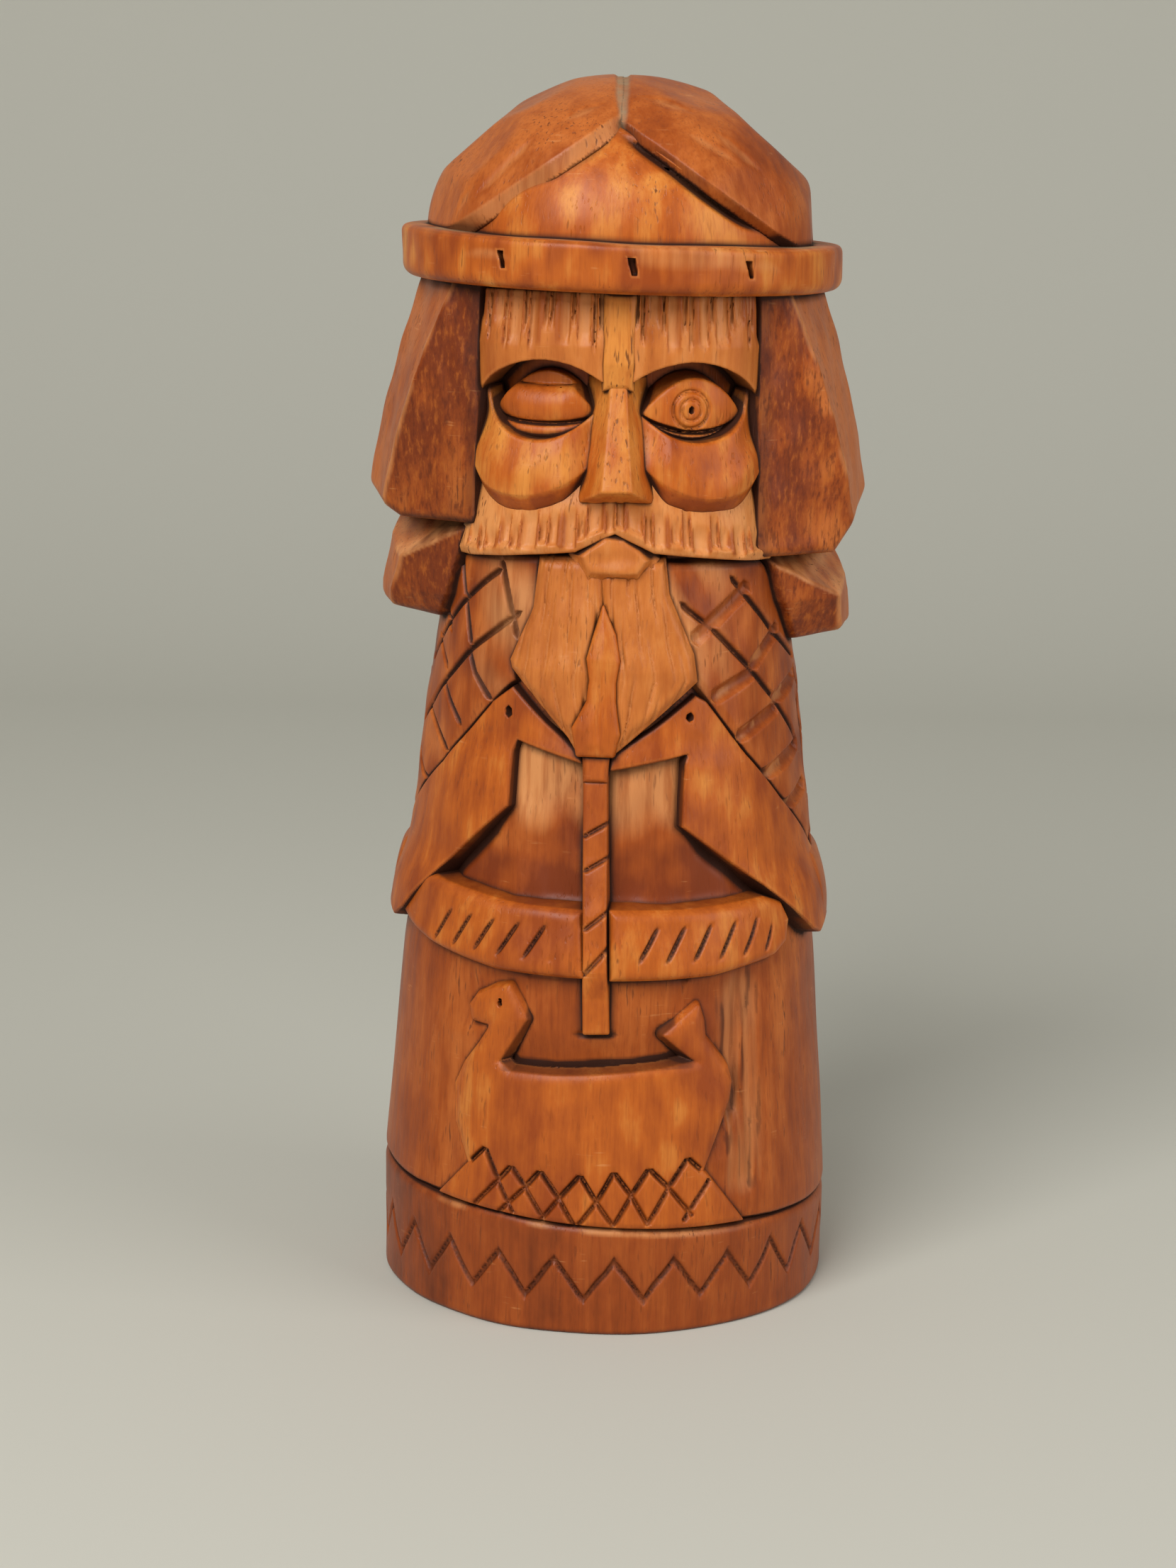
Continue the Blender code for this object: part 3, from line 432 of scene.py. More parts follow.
add_piece("base_plinth", plinth_field, ((-59.0, -59.0, -2.0), (59.0, 59.0, 34.0)), PLAIN, fresh=plinth_fresh,
          soot=0.5, grime=plinth_grime, tone=plinth_tone)


def rail_level(angle):
    """Level of the ship's rail, which sags in the middle."""
    return np.interp(angle, *zip(*RAIL[::-1]))


def off_deck(angle, level):
    """Distance from the cleared ground above the rail, negative on it."""
    return outline_distance(angle * SHIP_UNIT, level, scaled(DECK, SHIP_UNIT))


def stern_scoop(p):
    """Share of the torn scoop that runs up beside the stern."""
    across = ship_across(p)
    return np.exp(-((across - 41.0) / 6.2) ** 2) * ease(p.z, 29.0, 38.0) * ease(p.z, 93.0, 82.0)


RAVEN_UNDERCUTS = [[(-26.4, 128.0), (-47.0, 112.0), (-64.0, 98.0)],
                   [(25.2, 124.6), (50.6, 108.4), (70.0, 95.0)]]
SPEAR_FOOT_CUT = [(-6.0, 74.2), (9.0, 74.6)]


def undercut(p):
    """Share of the deep cuts under the ravens."""
    return deepest_cut(ship_angle(p), p.z, RAVEN_UNDERCUTS, SHIP_UNIT, 8.5, 9.0)


def foot_cut(p):
    """Share of the short cross cut at the foot of the spear."""
    return deepest_cut(ship_angle(p), p.z, [SPEAR_FOOT_CUT], SHIP_UNIT, 2.4, 3.0)


def torn_grain(p):
    """Long upright streaks of torn wood."""
    return wobble(p, 2.8, 51, tall=24.0)


def trunk_carve(p):
    """Rise of the trunk's own surface where the carver took wood away round the figures."""
    across = ship_across(p)
    skirt = ease(p.z, 96.0, 90.0)
    away = outline_distance(across, p.z, scaled(SHIP_AND_WAVES, SHIP_UNIT))
    above_rail = np.maximum(p.z - rail_level(ship_angle(p)), 0.0)
    deck = 1.4 + 2.2 * np.exp(-(above_rail / 9.0) ** 2)
    deck = deck * ease(off_deck(ship_angle(p), p.z), 0.8, -0.8)
    hollow = 1.5 * np.exp(-(np.maximum(away, 0.0) / 6.5) ** 2)
    hollow = np.maximum(hollow + 1.4 * stern_scoop(p) * (0.8 + 0.35 * torn_grain(p)), deck)
    hollow = hollow + 0.22 * wobble(p, 7.0, 3) * ease(away, 14.0, 2.0) + 0.8 * foot_cut(p)
    chest = ease(p.z, 100.0, 108.0) * ease(p.z, 152.0, 144.0) * ease(np.abs(across), 66.0, 52.0)
    panel = 0.3 + 1.1 * ease(np.abs(across), 24.0, 8.0) + 0.3 * wobble(p, 16.0, 4)
    panel = panel + 1.3 * ease(p.z, 126.0, 107.0) + 1.1 * undercut(p) + 0.16 * wobble(p, 5.0, 60, tall=2.5)
    beside = np.abs(swing(p.angle - FACE_TURN))
    socket = 3.4 * ease(p.z, 208.0, 217.0) * ease(beside, 56.0, 46.0) * ease(p.z, 246.0, 240.0)
    return -(skirt * hollow + chest * panel + socket) + 0.12 * wobble(p, 22.0, 6)


def trunk_field(p):
    """The block's core: the skirt, the chest panels and the ground of the face."""
    side = p.rise - trunk_carve(p)
    body = soft_max(side, groove_level(p) - 0.1 - p.z, 1.8)
    return 0.95 * np.maximum(body, p.z - BRIM_BOTTOM - 1.0)


def trunk_fresh(p):
    """Paler wood at the top of the chest panels and in the scoop beside the stern."""
    across = ship_across(p)
    patchy = wobble(p, 11.0, 7, tall=2.0)
    panel = ease(p.z + 5.0 * patchy, 119.0, 136.0) * ease(p.z, 152.0, 146.0)
    panel = panel * ease(np.abs(across), 34.0, 20.0) * np.where(across < 0.0, 1.0, 0.75)
    streak = ease(torn_grain(p), -1.3, 0.5) * ease(stern_scoop(p), 0.05, 0.9)
    return limited(panel + 0.46 * streak)


def trunk_grime(p):
    """Painted shade in the ring groove, in the deep cuts and along the ship's rail, and dirt in the torn
    grain of the scoop.
    """
    angle = ship_angle(p)
    groove = 0.35 * ease(p.z - groove_level(p), 0.9, 0.3)
    rail = 0.32 * ease(p.z - rail_level(angle), 4.2, 2.0) * ease(off_deck(angle, p.z), 1.0, -0.5)
    torn = 0.42 * ease(wobble(p, 2.4, 52, tall=24.0), 0.35, 0.8) * ease(stern_scoop(p), 0.05, 0.5)
    # Painted shadow under the ravens' lower edges
    under = 0.60 * ease(undercut(p), 0.0, 0.8) * ease(p.z, 103.0, 108.0)
    return groove + rail + torn + under + 0.3 * foot_cut(p)


def trunk_tone(p):
    """Dark at the foot of the chest panels, lighter over the skirt."""
    chest = ease(p.z, 101.0, 106.0)
    low = chest * ease(p.z + 4.0 * wobble(p, 12.0, 53), 124.0, 110.0)
    return 0.47 + 0.13 * chest * (1.0 + wobble(p, 6.0, 61)) - 0.52 * low


add_piece("trunk", trunk_field, ((-60.0, -60.0, 22.0), (60.0, 60.0, 254.0)), COARSE, fresh=trunk_fresh,
          grime=trunk_grime, tone=trunk_tone)


def wave_cut(angle, level):
    """Share of the crossed knife cuts under the hull."""
    return deepest_cut(angle, level, WAVE_CUTS, SHIP_UNIT, 1.8, 0.5)


# Painted shade in the crossed cuts
wave_grime = marked(wave_cut, 0.26, 0.05, 0.55)


def ship_height(angle, level, inside, p):
    """Smooth swelling hull; the heads are flatter, with an eye slit."""
    hull = 0.7 + 0.5 * ease(level, 40.0, 56.0) + 0.15 * wobble(p, 20.0, 8)
    eye = 2.2 * deepest_cut(angle, level, [PROW_EYE], SHIP_UNIT, 1.5, 0.8)
    round_over = 0.5 * falling(inside, 2.2) ** 2
    left_fade = 0.9 * ease(angle, -31.0, -38.0) * ease(level, 74.0, 66.0)
    return hull - eye - round_over - left_fade - WAVE_CUT_DEPTH * wave_cut(angle, level)


def wave_height(angle, level, inside, p):
    """Crossed knife cuts under the hull."""
    return 0.7 - WAVE_CUT_DEPTH * wave_cut(angle, level) - 0.35 * falling(inside, 1.0)


def ship_grime(angle, level, inside, p):
    """Painted shade on the ledge along the rail and in the cuts."""
    above = level - rail_level(angle)
    ledge = ease(above, -0.2, 0.6) * ease(above, 3.4, 2.2)
    ledge = ledge * ease(angle, -25.0, -22.0) * ease(angle, 29.0, 26.0)
    wall = ease(off_deck(angle, level), 0.5, -0.5) * ease(inside, 0.1, -0.6)
    return 0.36 * np.maximum(ledge, wall) + wave_grime(angle, level, inside, p)


add_relief("longship", BODY_TURN, SHIP, ship_height, 1.3, SHIP_RADIUS, slant=0.5, edge=0.6, tone=0.32,
           soot=0.5, mottle=0.12, grime=ship_grime)
add_relief("wave_band", BODY_TURN, WAVES, wave_height, 0.7, SHIP_RADIUS, slant=0.4, edge=0.4, tone=0.30,
           soot=0.4, grime=wave_grime)

# Spear, belt, ravens and cloak

SPEAR_CUTS = [[(-3.8, 122.2), (4.6, 126.4)], [(-3.2, 114.1), (4.9, 118.3)], [(-2.4, 100.4), (5.6, 106.4)],
              [(-2.2, 89.5), (6.0, 98.4)]]


def spear_cut(angle, level):
    """Share of the slanting cuts round the shaft."""
    return deepest_cut(angle, level, SPEAR_CUTS, BODY_UNIT, 1.7, 1.0)


def spear_height(angle, level, inside, p):
    """Flat shaft with slanting cuts wrapped round it."""
    rise = np.interp(level, [74.0, 84.0, 91.0, 104.0, 118.0, 142.0], [0.4, 1.7, 4.0, 4.3, 2.6, 2.4])
    return rise - 0.9 * spear_cut(angle, level) + 0.1 * wobble(p, 9.0, 11)


SHAFT = [(-1.2, 75.4), (4.6, 75.6), (3.0, 135.6), (-3.5, 135.6)]
COLLAR = [(-3.7, 135.6), (3.3, 135.6), (3.7, 142.6), (-4.2, 142.6)]
# The shaft's slanting cuts get painted shade
add_relief("spear_shaft", BODY_TURN, SHAFT, spear_height, 4.4, BODY_RADIUS, slant=0.12, edge=0.9, sink=3.5,
           tone=0.45, soot=0.6, grime=marked(spear_cut, 0.32, 0.05, 0.6))


def collar_height(angle, level, inside, p):
    """Plain block with softened edges."""
    return 3.4 - 0.6 * ease(inside, 1.0, 0.0)


add_relief("spear_collar", BODY_TURN, COLLAR, collar_height, 3.4, BEARD_RADIUS, slant=0.1, edge=0.6, sink=3.5,
           tone=0.4)

BELT_LEFT = [(-1.6, 89.3), (-2.6, 105.0), (-24.9, 105.4), (-50.0, 107.4), (-62.0, 110.0), (-74.0, 100.0),
             (-66.0, 95.4), (-50.0, 92.2), (-25.4, 89.6)]
BELT_RIGHT = [(5.2, 88.9), (4.7, 105.2), (21.4, 104.9), (51.3, 105.4), (57.5, 103.6), (60.4, 99.0),
              (58.4, 93.6), (53.0, 91.4), (32.1, 89.2)]

# The belt's cuts: their middle level, spacing and lean
BELT_MIDDLE = 97.3
BELT_PITCH = 6.4
BELT_LEAN = 0.55


def belt_cuts(angle, level):
    """Share of the slanting cuts along the belt, like a twisted cord."""
    line = (angle * BODY_UNIT - (level - BELT_MIDDLE) * BELT_LEAN) / BELT_PITCH
    tall = limited(1.0 - (np.abs(level - BELT_MIDDLE) / 4.6) ** 4)
    return tall * peak(off_whole(line) * BELT_PITCH, 0.85)


def add_belt(name, outline, first, last, tone):
    """Front half of the belt on one side of the spear, cut from a first angle to a last one."""
    def cuts(angle, level):
        return belt_cuts(angle, level) * ease(angle, first, first + 2.0) * ease(angle, last, last - 2.0)

    def height(angle, level, inside, p):
        return 4.2 - 0.9 * falling(inside, 2.6) ** 2 + 0.2 * wobble(p, 13.0, 12) - cuts(angle, level)
    # The belt's cuts get painted shade
    add_relief(name, BODY_TURN, outline, height, 4.2, BELT_RADIUS, slant=0.16, edge=1.3, sink=3.0, tone=tone,
               soot=0.4, grime=marked(cuts, 0.44, 0.03, 0.45))


add_belt("belt_left", BELT_LEFT, -48.0, -9.0, 0.28)
add_belt("belt_right", BELT_RIGHT, 11.0, 53.0, 0.40)


def belt_back_height(angle, level, inside, p):
    """Rounded belt round the back."""
    return 5.4 - 1.4 * ((level - 102.5) / 9.5) ** 2 + 0.2 * wobble(p, 20.0, 13)


BELT_BACK = [(79.0, 93.5), (281.0, 93.5), (281.0, 112.0), (79.0, 112.0)]
add_relief("belt_back", BODY_TURN, BELT_BACK, belt_back_height, 5.4, BELT_BACK_RADIUS, PLAIN, slant=0.3,
           edge=2.0, tone=0.65)

RAVEN_LEFT = [(-27.7, 156.6), (-16.0, 148.6), (-5.4, 142.0), (-4.2, 139.8), (-25.2, 144.2), (-26.4, 141.6),
              (-26.6, 128.2), (-49.8, 110.0), (-64.0, 97.2), (-70.0, 94.0), (-86.0, 95.5), (-86.0, 116.5),
              (-75.9, 123.4), (-55.9, 135.2), (-42.3, 146.2), (-34.4, 152.8)]
RAVEN_RIGHT = [(30.4, 155.6), (17.0, 148.0), (4.5, 141.8), (3.8, 138.3), (27.4, 142.0), (26.4, 140.0),
               (25.0, 124.8), (50.6, 108.6), (70.0, 94.4), (75.0, 92.6), (86.0, 95.0), (86.0, 112.0),
               (77.7, 118.1), (63.1, 128.4), (48.3, 140.2), (33.8, 154.2)]


def add_raven(name, outline, eye, tone):
    """Smooth raven with a slit eye; its tail lies over the belt."""
    def height(angle, level, inside, p):
        tail = ease(level, 116.0, 101.0)
        rise = 2.9 + 0.5 * ease(inside, 0.0, 14.0) + 2.3 * tail + 0.2 * wobble(p, 18.0, 14)
        head = 0.7 * ease(level, 138.0, 146.0)
        slit = 2.8 * deepest_cut(angle, level, [eye], BODY_UNIT, 2.3, 0.8)
        beak = 0.9 * ease(np.abs(angle), 22.0, 6.0)
        return rise - head - slit - beak
    # The raven's steep sides get extra painted shade
    add_relief(name, BODY_TURN, outline, height, 3.4, BODY_RADIUS, slant=0.12, edge=0.9, sink=3.5, walls=1.5,
               tone=tone, mottle=0.16)


add_raven("raven_left", RAVEN_LEFT, [(-28.9, 152.2), (-28.4, 149.0)], 0.20)
add_raven("raven_right", RAVEN_RIGHT, [(28.6, 152.0), (28.0, 149.4)], 0.40)

CLOAK_LEFT = [(-31.5, 155.8), (-42.8, 146.8), (-56.4, 135.8), (-76.4, 124.0), (-86.0, 117.5), (-86.0, 172.0),
              (-52.0, 188.0), (-20.0, 188.0), (-20.6, 176.0), (-27.4, 163.0), (-27.4, 158.6)]
CLOAK_RIGHT = [(34.2, 155.2), (48.9, 140.8), (63.7, 129.0), (78.3, 118.7), (86.0, 113.0), (86.0, 172.0),
               (56.0, 187.0), (20.0, 187.0), (21.0, 180.0), (28.8, 166.0), (29.8, 159.4)]
CLOAK_LEFT_CUTS = [
    [(-80.0, 141.5), (-72.3, 146.6), (-44.4, 164.4), (-33.8, 170.3), (-25.0, 175.2)],
    [(-80.0, 157.0), (-69.6, 162.8), (-51.7, 174.7), (-33.0, 184.8)],
    [(-54.6, 186.5), (-44.4, 164.4)], [(-34.4, 187.5), (-26.4, 167.6)],
    [(-46.4, 165.4), (-42.4, 158.4), (-34.6, 152.2)],
    [(-60.8, 154.8), (-47.0, 144.6)], [(-73.0, 146.8), (-53.4, 137.8)], [(-79.0, 135.6), (-64.5, 127.6)],
    [(-70.6, 165.6), (-58.0, 157.2)], [(-64.0, 172.5), (-56.5, 166.5)],
]
CLOAK_RIGHT_CUTS = [
    [(24.6, 178.6), (27.5, 176.3), (36.0, 171.4), (49.2, 161.8), (63.8, 151.5), (80.2, 138.3)],
    [(42.3, 184.2), (53.2, 175.4), (64.0, 168.4), (83.0, 160.0)],
]
CLOAK_RIGHT_SCOOPS = [
    [(35.0, 154.7), (52.6, 160.6)], [(50.0, 161.2), (67.4, 170.1)], [(44.0, 144.8), (64.6, 150.8)],
    [(54.0, 134.2), (80.0, 139.8)], [(61.0, 151.9), (85.0, 157.2)], [(64.6, 125.0), (83.0, 129.2)],
    [(28.6, 168.4), (36.1, 173.1), (51.0, 181.6)], [(48.7, 158.9), (52.0, 161.0)],
]


def first_half(path):
    """First half of a path's first stretch."""
    (angle, level), (next_angle, next_level) = path[:2]
    return [(angle, level), (0.5 * (angle + next_angle), 0.5 * (level + next_level))]


def add_cloak(name, outline, cuts, scoops, tone):
    """Shoulder of the cloak with crossed cuts, paler beside the beard."""
    torn_ends = [first_half(path) for path in scoops]

    def scooped(angle, level):
        return deepest_cut(angle, level, scoops, BODY_UNIT, 4.4, 1.2, True)

    def height(angle, level, inside, p):
        depth = np.maximum(deepest_cut(angle, level, cuts, BODY_UNIT, 2.3, 2.0), scooped(angle, level))
        return 3.0 + 0.25 * wobble(p, 12.0, 15) - 1.5 * depth - 0.5 * falling(inside, 1.6)

    def fresh(angle, level, inside, p):
        beside = ease(np.abs(angle), 48.0, 33.0) * ease(level, 150.0, 158.0)
        patch = beside * limited(0.42 + 0.4 * wobble(p, 9.0, 10, tall=2.0))
        torn = ease(deepest_cut(angle, level, torn_ends, BODY_UNIT, 4.2, 1.2), 0.1, 0.7)
        return patch + 0.55 * torn * ease(wobble(p, 2.5, 54), -0.5, 0.4)

    # Painted shade in the knife cuts and the scoops
    def grime(angle, level, inside, p):
        knifed = ease(deepest_cut(angle, level, cuts, BODY_UNIT, 2.0, 2.0), 0.0, 0.8)
        return np.maximum(0.22 * scooped(angle, level), 0.40 * knifed)
    add_relief(name, BODY_TURN, outline, height, 3.0, BODY_RADIUS, slant=0.3, edge=0.6, sink=3.0, tone=tone,
               fresh=fresh, grime=grime, mottle=0.24)


add_cloak("cloak_left", CLOAK_LEFT, CLOAK_LEFT_CUTS, [], 0.42)
add_cloak("cloak_right", CLOAK_RIGHT, CLOAK_RIGHT_CUTS, CLOAK_RIGHT_SCOOPS, 0.56)

# The crossed cuts over the cloak's back: the length of one degree, their spacing, lean and middle level
BACK_UNIT = math.radians(1.0) * 48.5
BACK_PITCH = 15.0
BACK_LEAN = 1.15
BACK_MIDDLE = 139.0
CLOAK_BACK = [(85.7, 112.3), (274.3, 112.3), (274.3, 172.0), (85.7, 172.0)]


def back_cut(angle, level):
    """Share of the crossed cuts all round the back."""
    across = (angle - 180.0) * BACK_UNIT
    share = np.zeros(across.shape)
    for lean in (BACK_LEAN, -BACK_LEAN):
        line = (across + lean * (level - BACK_MIDDLE)) / BACK_PITCH
        share = np.maximum(share, peak(off_whole(line) * BACK_PITCH / math.hypot(1.0, lean), 1.05))
    return share


def cloak_back_height(angle, level, inside, p):
    """Even cloak with crossed cuts."""
    return 3.0 + 0.25 * wobble(p, 12.0, 16) - 1.3 * back_cut(angle, level)


# The crossed cuts get painted shade
add_relief("cloak_back", BODY_TURN, CLOAK_BACK, cloak_back_height, 3.0, BODY_RADIUS, PLAIN, slant=0.3,
           edge=0.6, sink=3.0, tone=0.46, grime=marked(back_cut, 0.38))

# Beard and mouth

BEARD_SIDE = {
    "left": [(0.5, 184.5), (0.0, 177.0), (-1.9, 170.5), (-3.0, 165.1), (-2.0, 160.0), (-2.4, 155.0),
             (-6.3, 148.6), (-4.9, 142.8), (-7.8, 146.4), (-26.4, 161.8), (-27.0, 163.5), (-20.6, 176.0),
             (-19.5, 188.0), (-6.0, 188.0)],
    "right": [(-0.5, 184.5), (1.7, 176.6), (4.4, 170.6), (5.7, 164.5), (4.6, 159.5), (4.6, 155.0),
              (5.7, 147.4), (4.0, 142.8), (29.3, 159.6), (28.4, 165.8), (21.0, 180.0), (20.0, 188.0),
              (7.0, 188.0)],
}
BEARD_LOCK = [(0.9, 177.0), (-1.6, 170.5), (-3.4, 165.1), (-2.4, 160.0), (-2.9, 155.0), (-6.8, 148.6),
              (-5.2, 142.4), (4.3, 142.4), (6.2, 147.4), (5.0, 155.0), (5.0, 159.5), (6.2, 164.5),
              (4.7, 170.6)]


def add_beard_side(word, side):
    """Half of the beard, with fine upright gouge lines that fan out from the lip."""
    def strokes(angle, level):
        fan = angle / np.interp(level, [143.0, 160.0, 188.0], [0.62, 1.0, 0.8])
        line = fan * FACE_UNIT / 2.3 + 0.16 * np.sin(level * 0.11 + side) + 0.05 * np.sin(level * 0.53)
        strength = np.clip(0.5 + 0.8 * np.sin(np.floor(line) * 2.4 + 0.17 * level), 0.05, 1.0)
        return peak(line % 1.0 - 0.5, 0.3) * strength

    def height(angle, level, inside, p):
        rise = np.interp(level, [143.0, 162.0, 186.0], [4.4, 5.8, 5.2]) + 0.2 * wobble(p, 12.0, 17)
        return rise - 0.65 * strokes(angle, level) - 1.2 * falling(inside, 2.4) ** 2
    add_relief("beard_" + word, BODY_TURN, BEARD_SIDE[word], height, 5.6, BEARD_RADIUS, slant=0.3, edge=0.8,
               sink=3.0, walls=0.7, soot=0.6, fresh=marked(strokes, 0.34), tone=0.50)


def beard_lock_height(angle, level, inside, p):
    """Tulip-shaped lock with a soft groove down its middle."""
    middle = angle - np.interp(level, [142.0, 177.0], [0.2, 1.3])
    groove = 0.5 * peak(middle, 0.9) * ease(level, 142.0, 150.0) * ease(level, 166.0, 158.0)
    rise = np.interp(level, [142.0, 150.0, 165.0, 177.0], [5.2, 5.6, 6.0, 5.2])
    return rise + 0.7 * ease(inside, 0.0, 3.4) - groove


add_beard_side("left", -1.0)
add_beard_side("right", 1.0)
add_relief("beard_lock", BODY_TURN, BEARD_LOCK, beard_lock_height, 6.2, BEARD_RADIUS, slant=0.25, edge=1.2,
           sink=3.0, walls=0.5, soot=0.55, tone=0.56)

LIP = [(-8.8, 183.0), (8.6, 182.6), (13.6, 188.6), (4.0, 195.5), (-4.0, 195.5), (-14.0, 189.6)]


def lip_height(angle, level, inside, p):
    """Lower lip with a bevelled edge."""
    return 4.4 + 2.6 * ease(inside, 0.0, 3.0) + 0.3 * wobble(p, 6.0, 18)


add_relief("lower_lip", FACE_TURN, LIP, lip_height, 6.4, FACE_RADIUS, slant=0.3, edge=0.8, sink=3.0, tone=0.6)


def moustache_low(angle):
    """Level of the moustache's lower edge: a peak over the lip, falling to both ends."""
    return np.interp(np.abs(angle), [0.0, 12.0, 57.0], [MOUTH + 4.2, MOUTH - 0.2, MOUTH - 3.68])


MOUSTACHE = [(angle, float(moustache_low(angle))) for angle in (-57.0, -12.0, 0.0, 12.0, 57.0)]
MOUSTACHE += [(57.0, 206.0), (0.0, 208.0), (-57.0, 206.0)]


def gouge_rows(angle, pitch, sway, rate):
    """Number of the upright gouge cut at each place, and the place across it: 0 mid-cut, 1 between two."""
    line = angle * FACE_UNIT / pitch + sway * np.sin(angle * rate)
    number = np.floor(line)
    return number, np.abs(line - number - 0.5) * 2.0


def moustache_cuts(angle, level):
    """Place across the finger-like gouge cuts, and their share of full depth."""
    number, place = gouge_rows(angle, 3.1, 0.22, 0.6)
    foot = 2.3 + 0.8 * np.sin(number * 1.9)
    head = 10.6 + 1.8 * np.sin(number * 2.7 + 1.0) - 2.0 * ease(np.abs(angle), 20.0, 45.0)
    up = level - moustache_low(angle)
    ends = ease(up, foot - 0.8, foot + 0.8) * ease(up, head, head - 4.5) * ease(np.abs(angle), 54.0, 49.0)
    return place, ends


def moustache_strokes(angle, level):
    """Share of the gouge cuts."""
    place, ends = moustache_cuts(angle, level)
    return ends * half_circle(place / 0.78)


def moustache_tone(angle, level, inside, p):
    """Pale, with painted shade between the cuts."""
    place, ends = moustache_cuts(angle, level)
    return 0.90 - 0.95 * ends * ease(place, 0.50, 0.82)


def moustache_height(angle, level, inside, p):
    """Swells towards its lower edge, under which the wood is cut back."""
    rise = np.interp(level - moustache_low(angle), [0.0, 2.0, 12.0, 18.0], [6.4, 7.2, 5.2, 3.6])
    side = 2.2 * ease(np.abs(angle), 40.0, 58.0)
    return rise - side - 1.2 * moustache_strokes(angle, level) + 0.15 * wobble(p, 9.0, 19)


add_relief("moustache", FACE_TURN, MOUSTACHE, moustache_height, 7.0, FACE_RADIUS, slant=-0.1, edge=0.8,
           soot=0.6, fresh=marked(moustache_strokes, 0.6), tone=moustache_tone)

# Face

CHEEK_FOOT = arc((9.0, 204.0), (52.0, 206.0), -7.5)
LOWER_LID = arc((8.0, EYE), (43.0, EYE), -6.0)
UPPER_LID = arc((7.0, EYE - 0.5), (44.0, EYE - 0.5), 9.6)
PUPIL = [(0.0, 1.1), (0.0, -1.1)]


def face_side(away):
    """How far the face falls back towards its sides."""
    return 3.4 * ease(away, 36.0, 54.0)


def under_cheek(angle, level):
    """How far a place lies below the line where the cheek breaks into its chamfer."""
    foot = np.interp(np.abs(angle), *zip(*CHEEK_FOOT))
    return np.clip(5.5 - level + foot, 0.0, 9.0)


def add_cheek(word, side, stain):
    """Cheek that swells downwards and breaks into a chamfer at its foot."""
    outer_edge = [(53.0, 226.0), (47.0, 227.0), (43.4, EYE + 0.4)]
    outline = mirrored(CHEEK_FOOT + outer_edge + LOWER_LID[::-1], side)

    def height(angle, level, inside, p):
        away = np.abs(angle)
        swell = 4.2 + 4.0 * ease(level, 224.0, 205.0)
        inner = 2.6 * ease(away, 17.0, 9.0)
        chamfer = 0.75 * under_cheek(angle, level)
        return swell - inner - face_side(away) - chamfer + 0.25 * wobble(p, 10.0, 21)

    # Painted shade on the chamfer under the cheek, in its tone and in its dark mark
    def tone(angle, level, inside, p):
        return stain - 0.5 * ease(under_cheek(angle, level), 0.2, 1.6)

    def grime(angle, level, inside, p):
        return 0.16 * ease(under_cheek(angle, level), 0.4, 2.5)
    add_relief("cheek_" + word, FACE_TURN, outline, height, 7.8, FACE_RADIUS, slant=0.1, edge=0.9, tone=tone,
               grime=grime, mottle=0.16)


def eye_closed_height(angle, level, inside, p):
    """Shut eye: two swelling lids that meet in a slit, with a bag under them."""
    away = (np.abs(angle) - 25.5) / 18.5
    off = level - EYE + 0.4 + 1.6 * (1.0 - away * away)
    upper = 4.2 * half_circle((off - 3.6) / 5.2)
    lower = 3.6 * half_circle((off + 2.0) / 2.6)
    return np.maximum(upper, lower) * limited(1.15 - 0.8 * away * away) - 1.0 - peak(off, 0.7)


def eye_open_height(angle, level, inside, p):
    """Open eye: a swelling almond with two rings, a pupil slit and a lower lid."""
    across = (angle - 24.0) * FACE_UNIT
    off = level - EYE - 1.8
    from_pupil = np.hypot(across, off)
    ball = 3.0 * limited(1.0 - (across / 17.0) ** 2 - (off / 11.0) ** 2)
    rings = np.maximum(0.8 * peak(from_pupil - 4.4, 0.75), 0.6 * peak(from_pupil - 2.5, 0.6))
    pupil = 1.8 * cut_share(across, off, PUPIL, 1.5, 0.6)
    share = limited((angle - 8.5) / 35.5)
    lid = level - EYE + 13.6 * share * (1.0 - share)
    roll = 1.3 * ease(lid, 0.2, -1.2) * ease(inside, 0.0, 1.2)
    cuts = np.maximum(np.maximum(rings, pupil), 0.9 * peak(lid, 0.7))
    return 0.6 + ball * ease(lid, -0.6, 0.6) + roll - cuts


def add_eye(word, side, height):
    """Eye between its lids."""
    outline = mirrored(UPPER_LID + LOWER_LID[-2:0:-1], side)
    add_relief("eye_" + word, FACE_TURN, outline, height, 2.4, FACE_RADIUS, slant=0.3, edge=0.5, sink=3.5,
               tone=0.6)


BROW_TOP = BRIM_BOTTOM + 0.5
BROW_ARCH = arc((3.6, BROW_EDGE - 1.0), (48.0, BROW_EDGE - 5.0), 7.4)


def brow_cuts(angle, level):
    """Place across the fringe's uneven gouge cuts, and their share of full depth."""
    number, place = gouge_rows(angle, 2.3, 0.3, 0.9)
    end = 240.0 + 2.6 * np.sin(number * 2.3) + 1.5 * np.sin(number * 0.7)
    return place, ease(level, end - 1.5, end + 2.5)


def brow_strokes(angle, level):
    """Share of the fringe's gouge cuts."""
    place, ends = brow_cuts(angle, level)
    return ends * half_circle(place / 0.7)


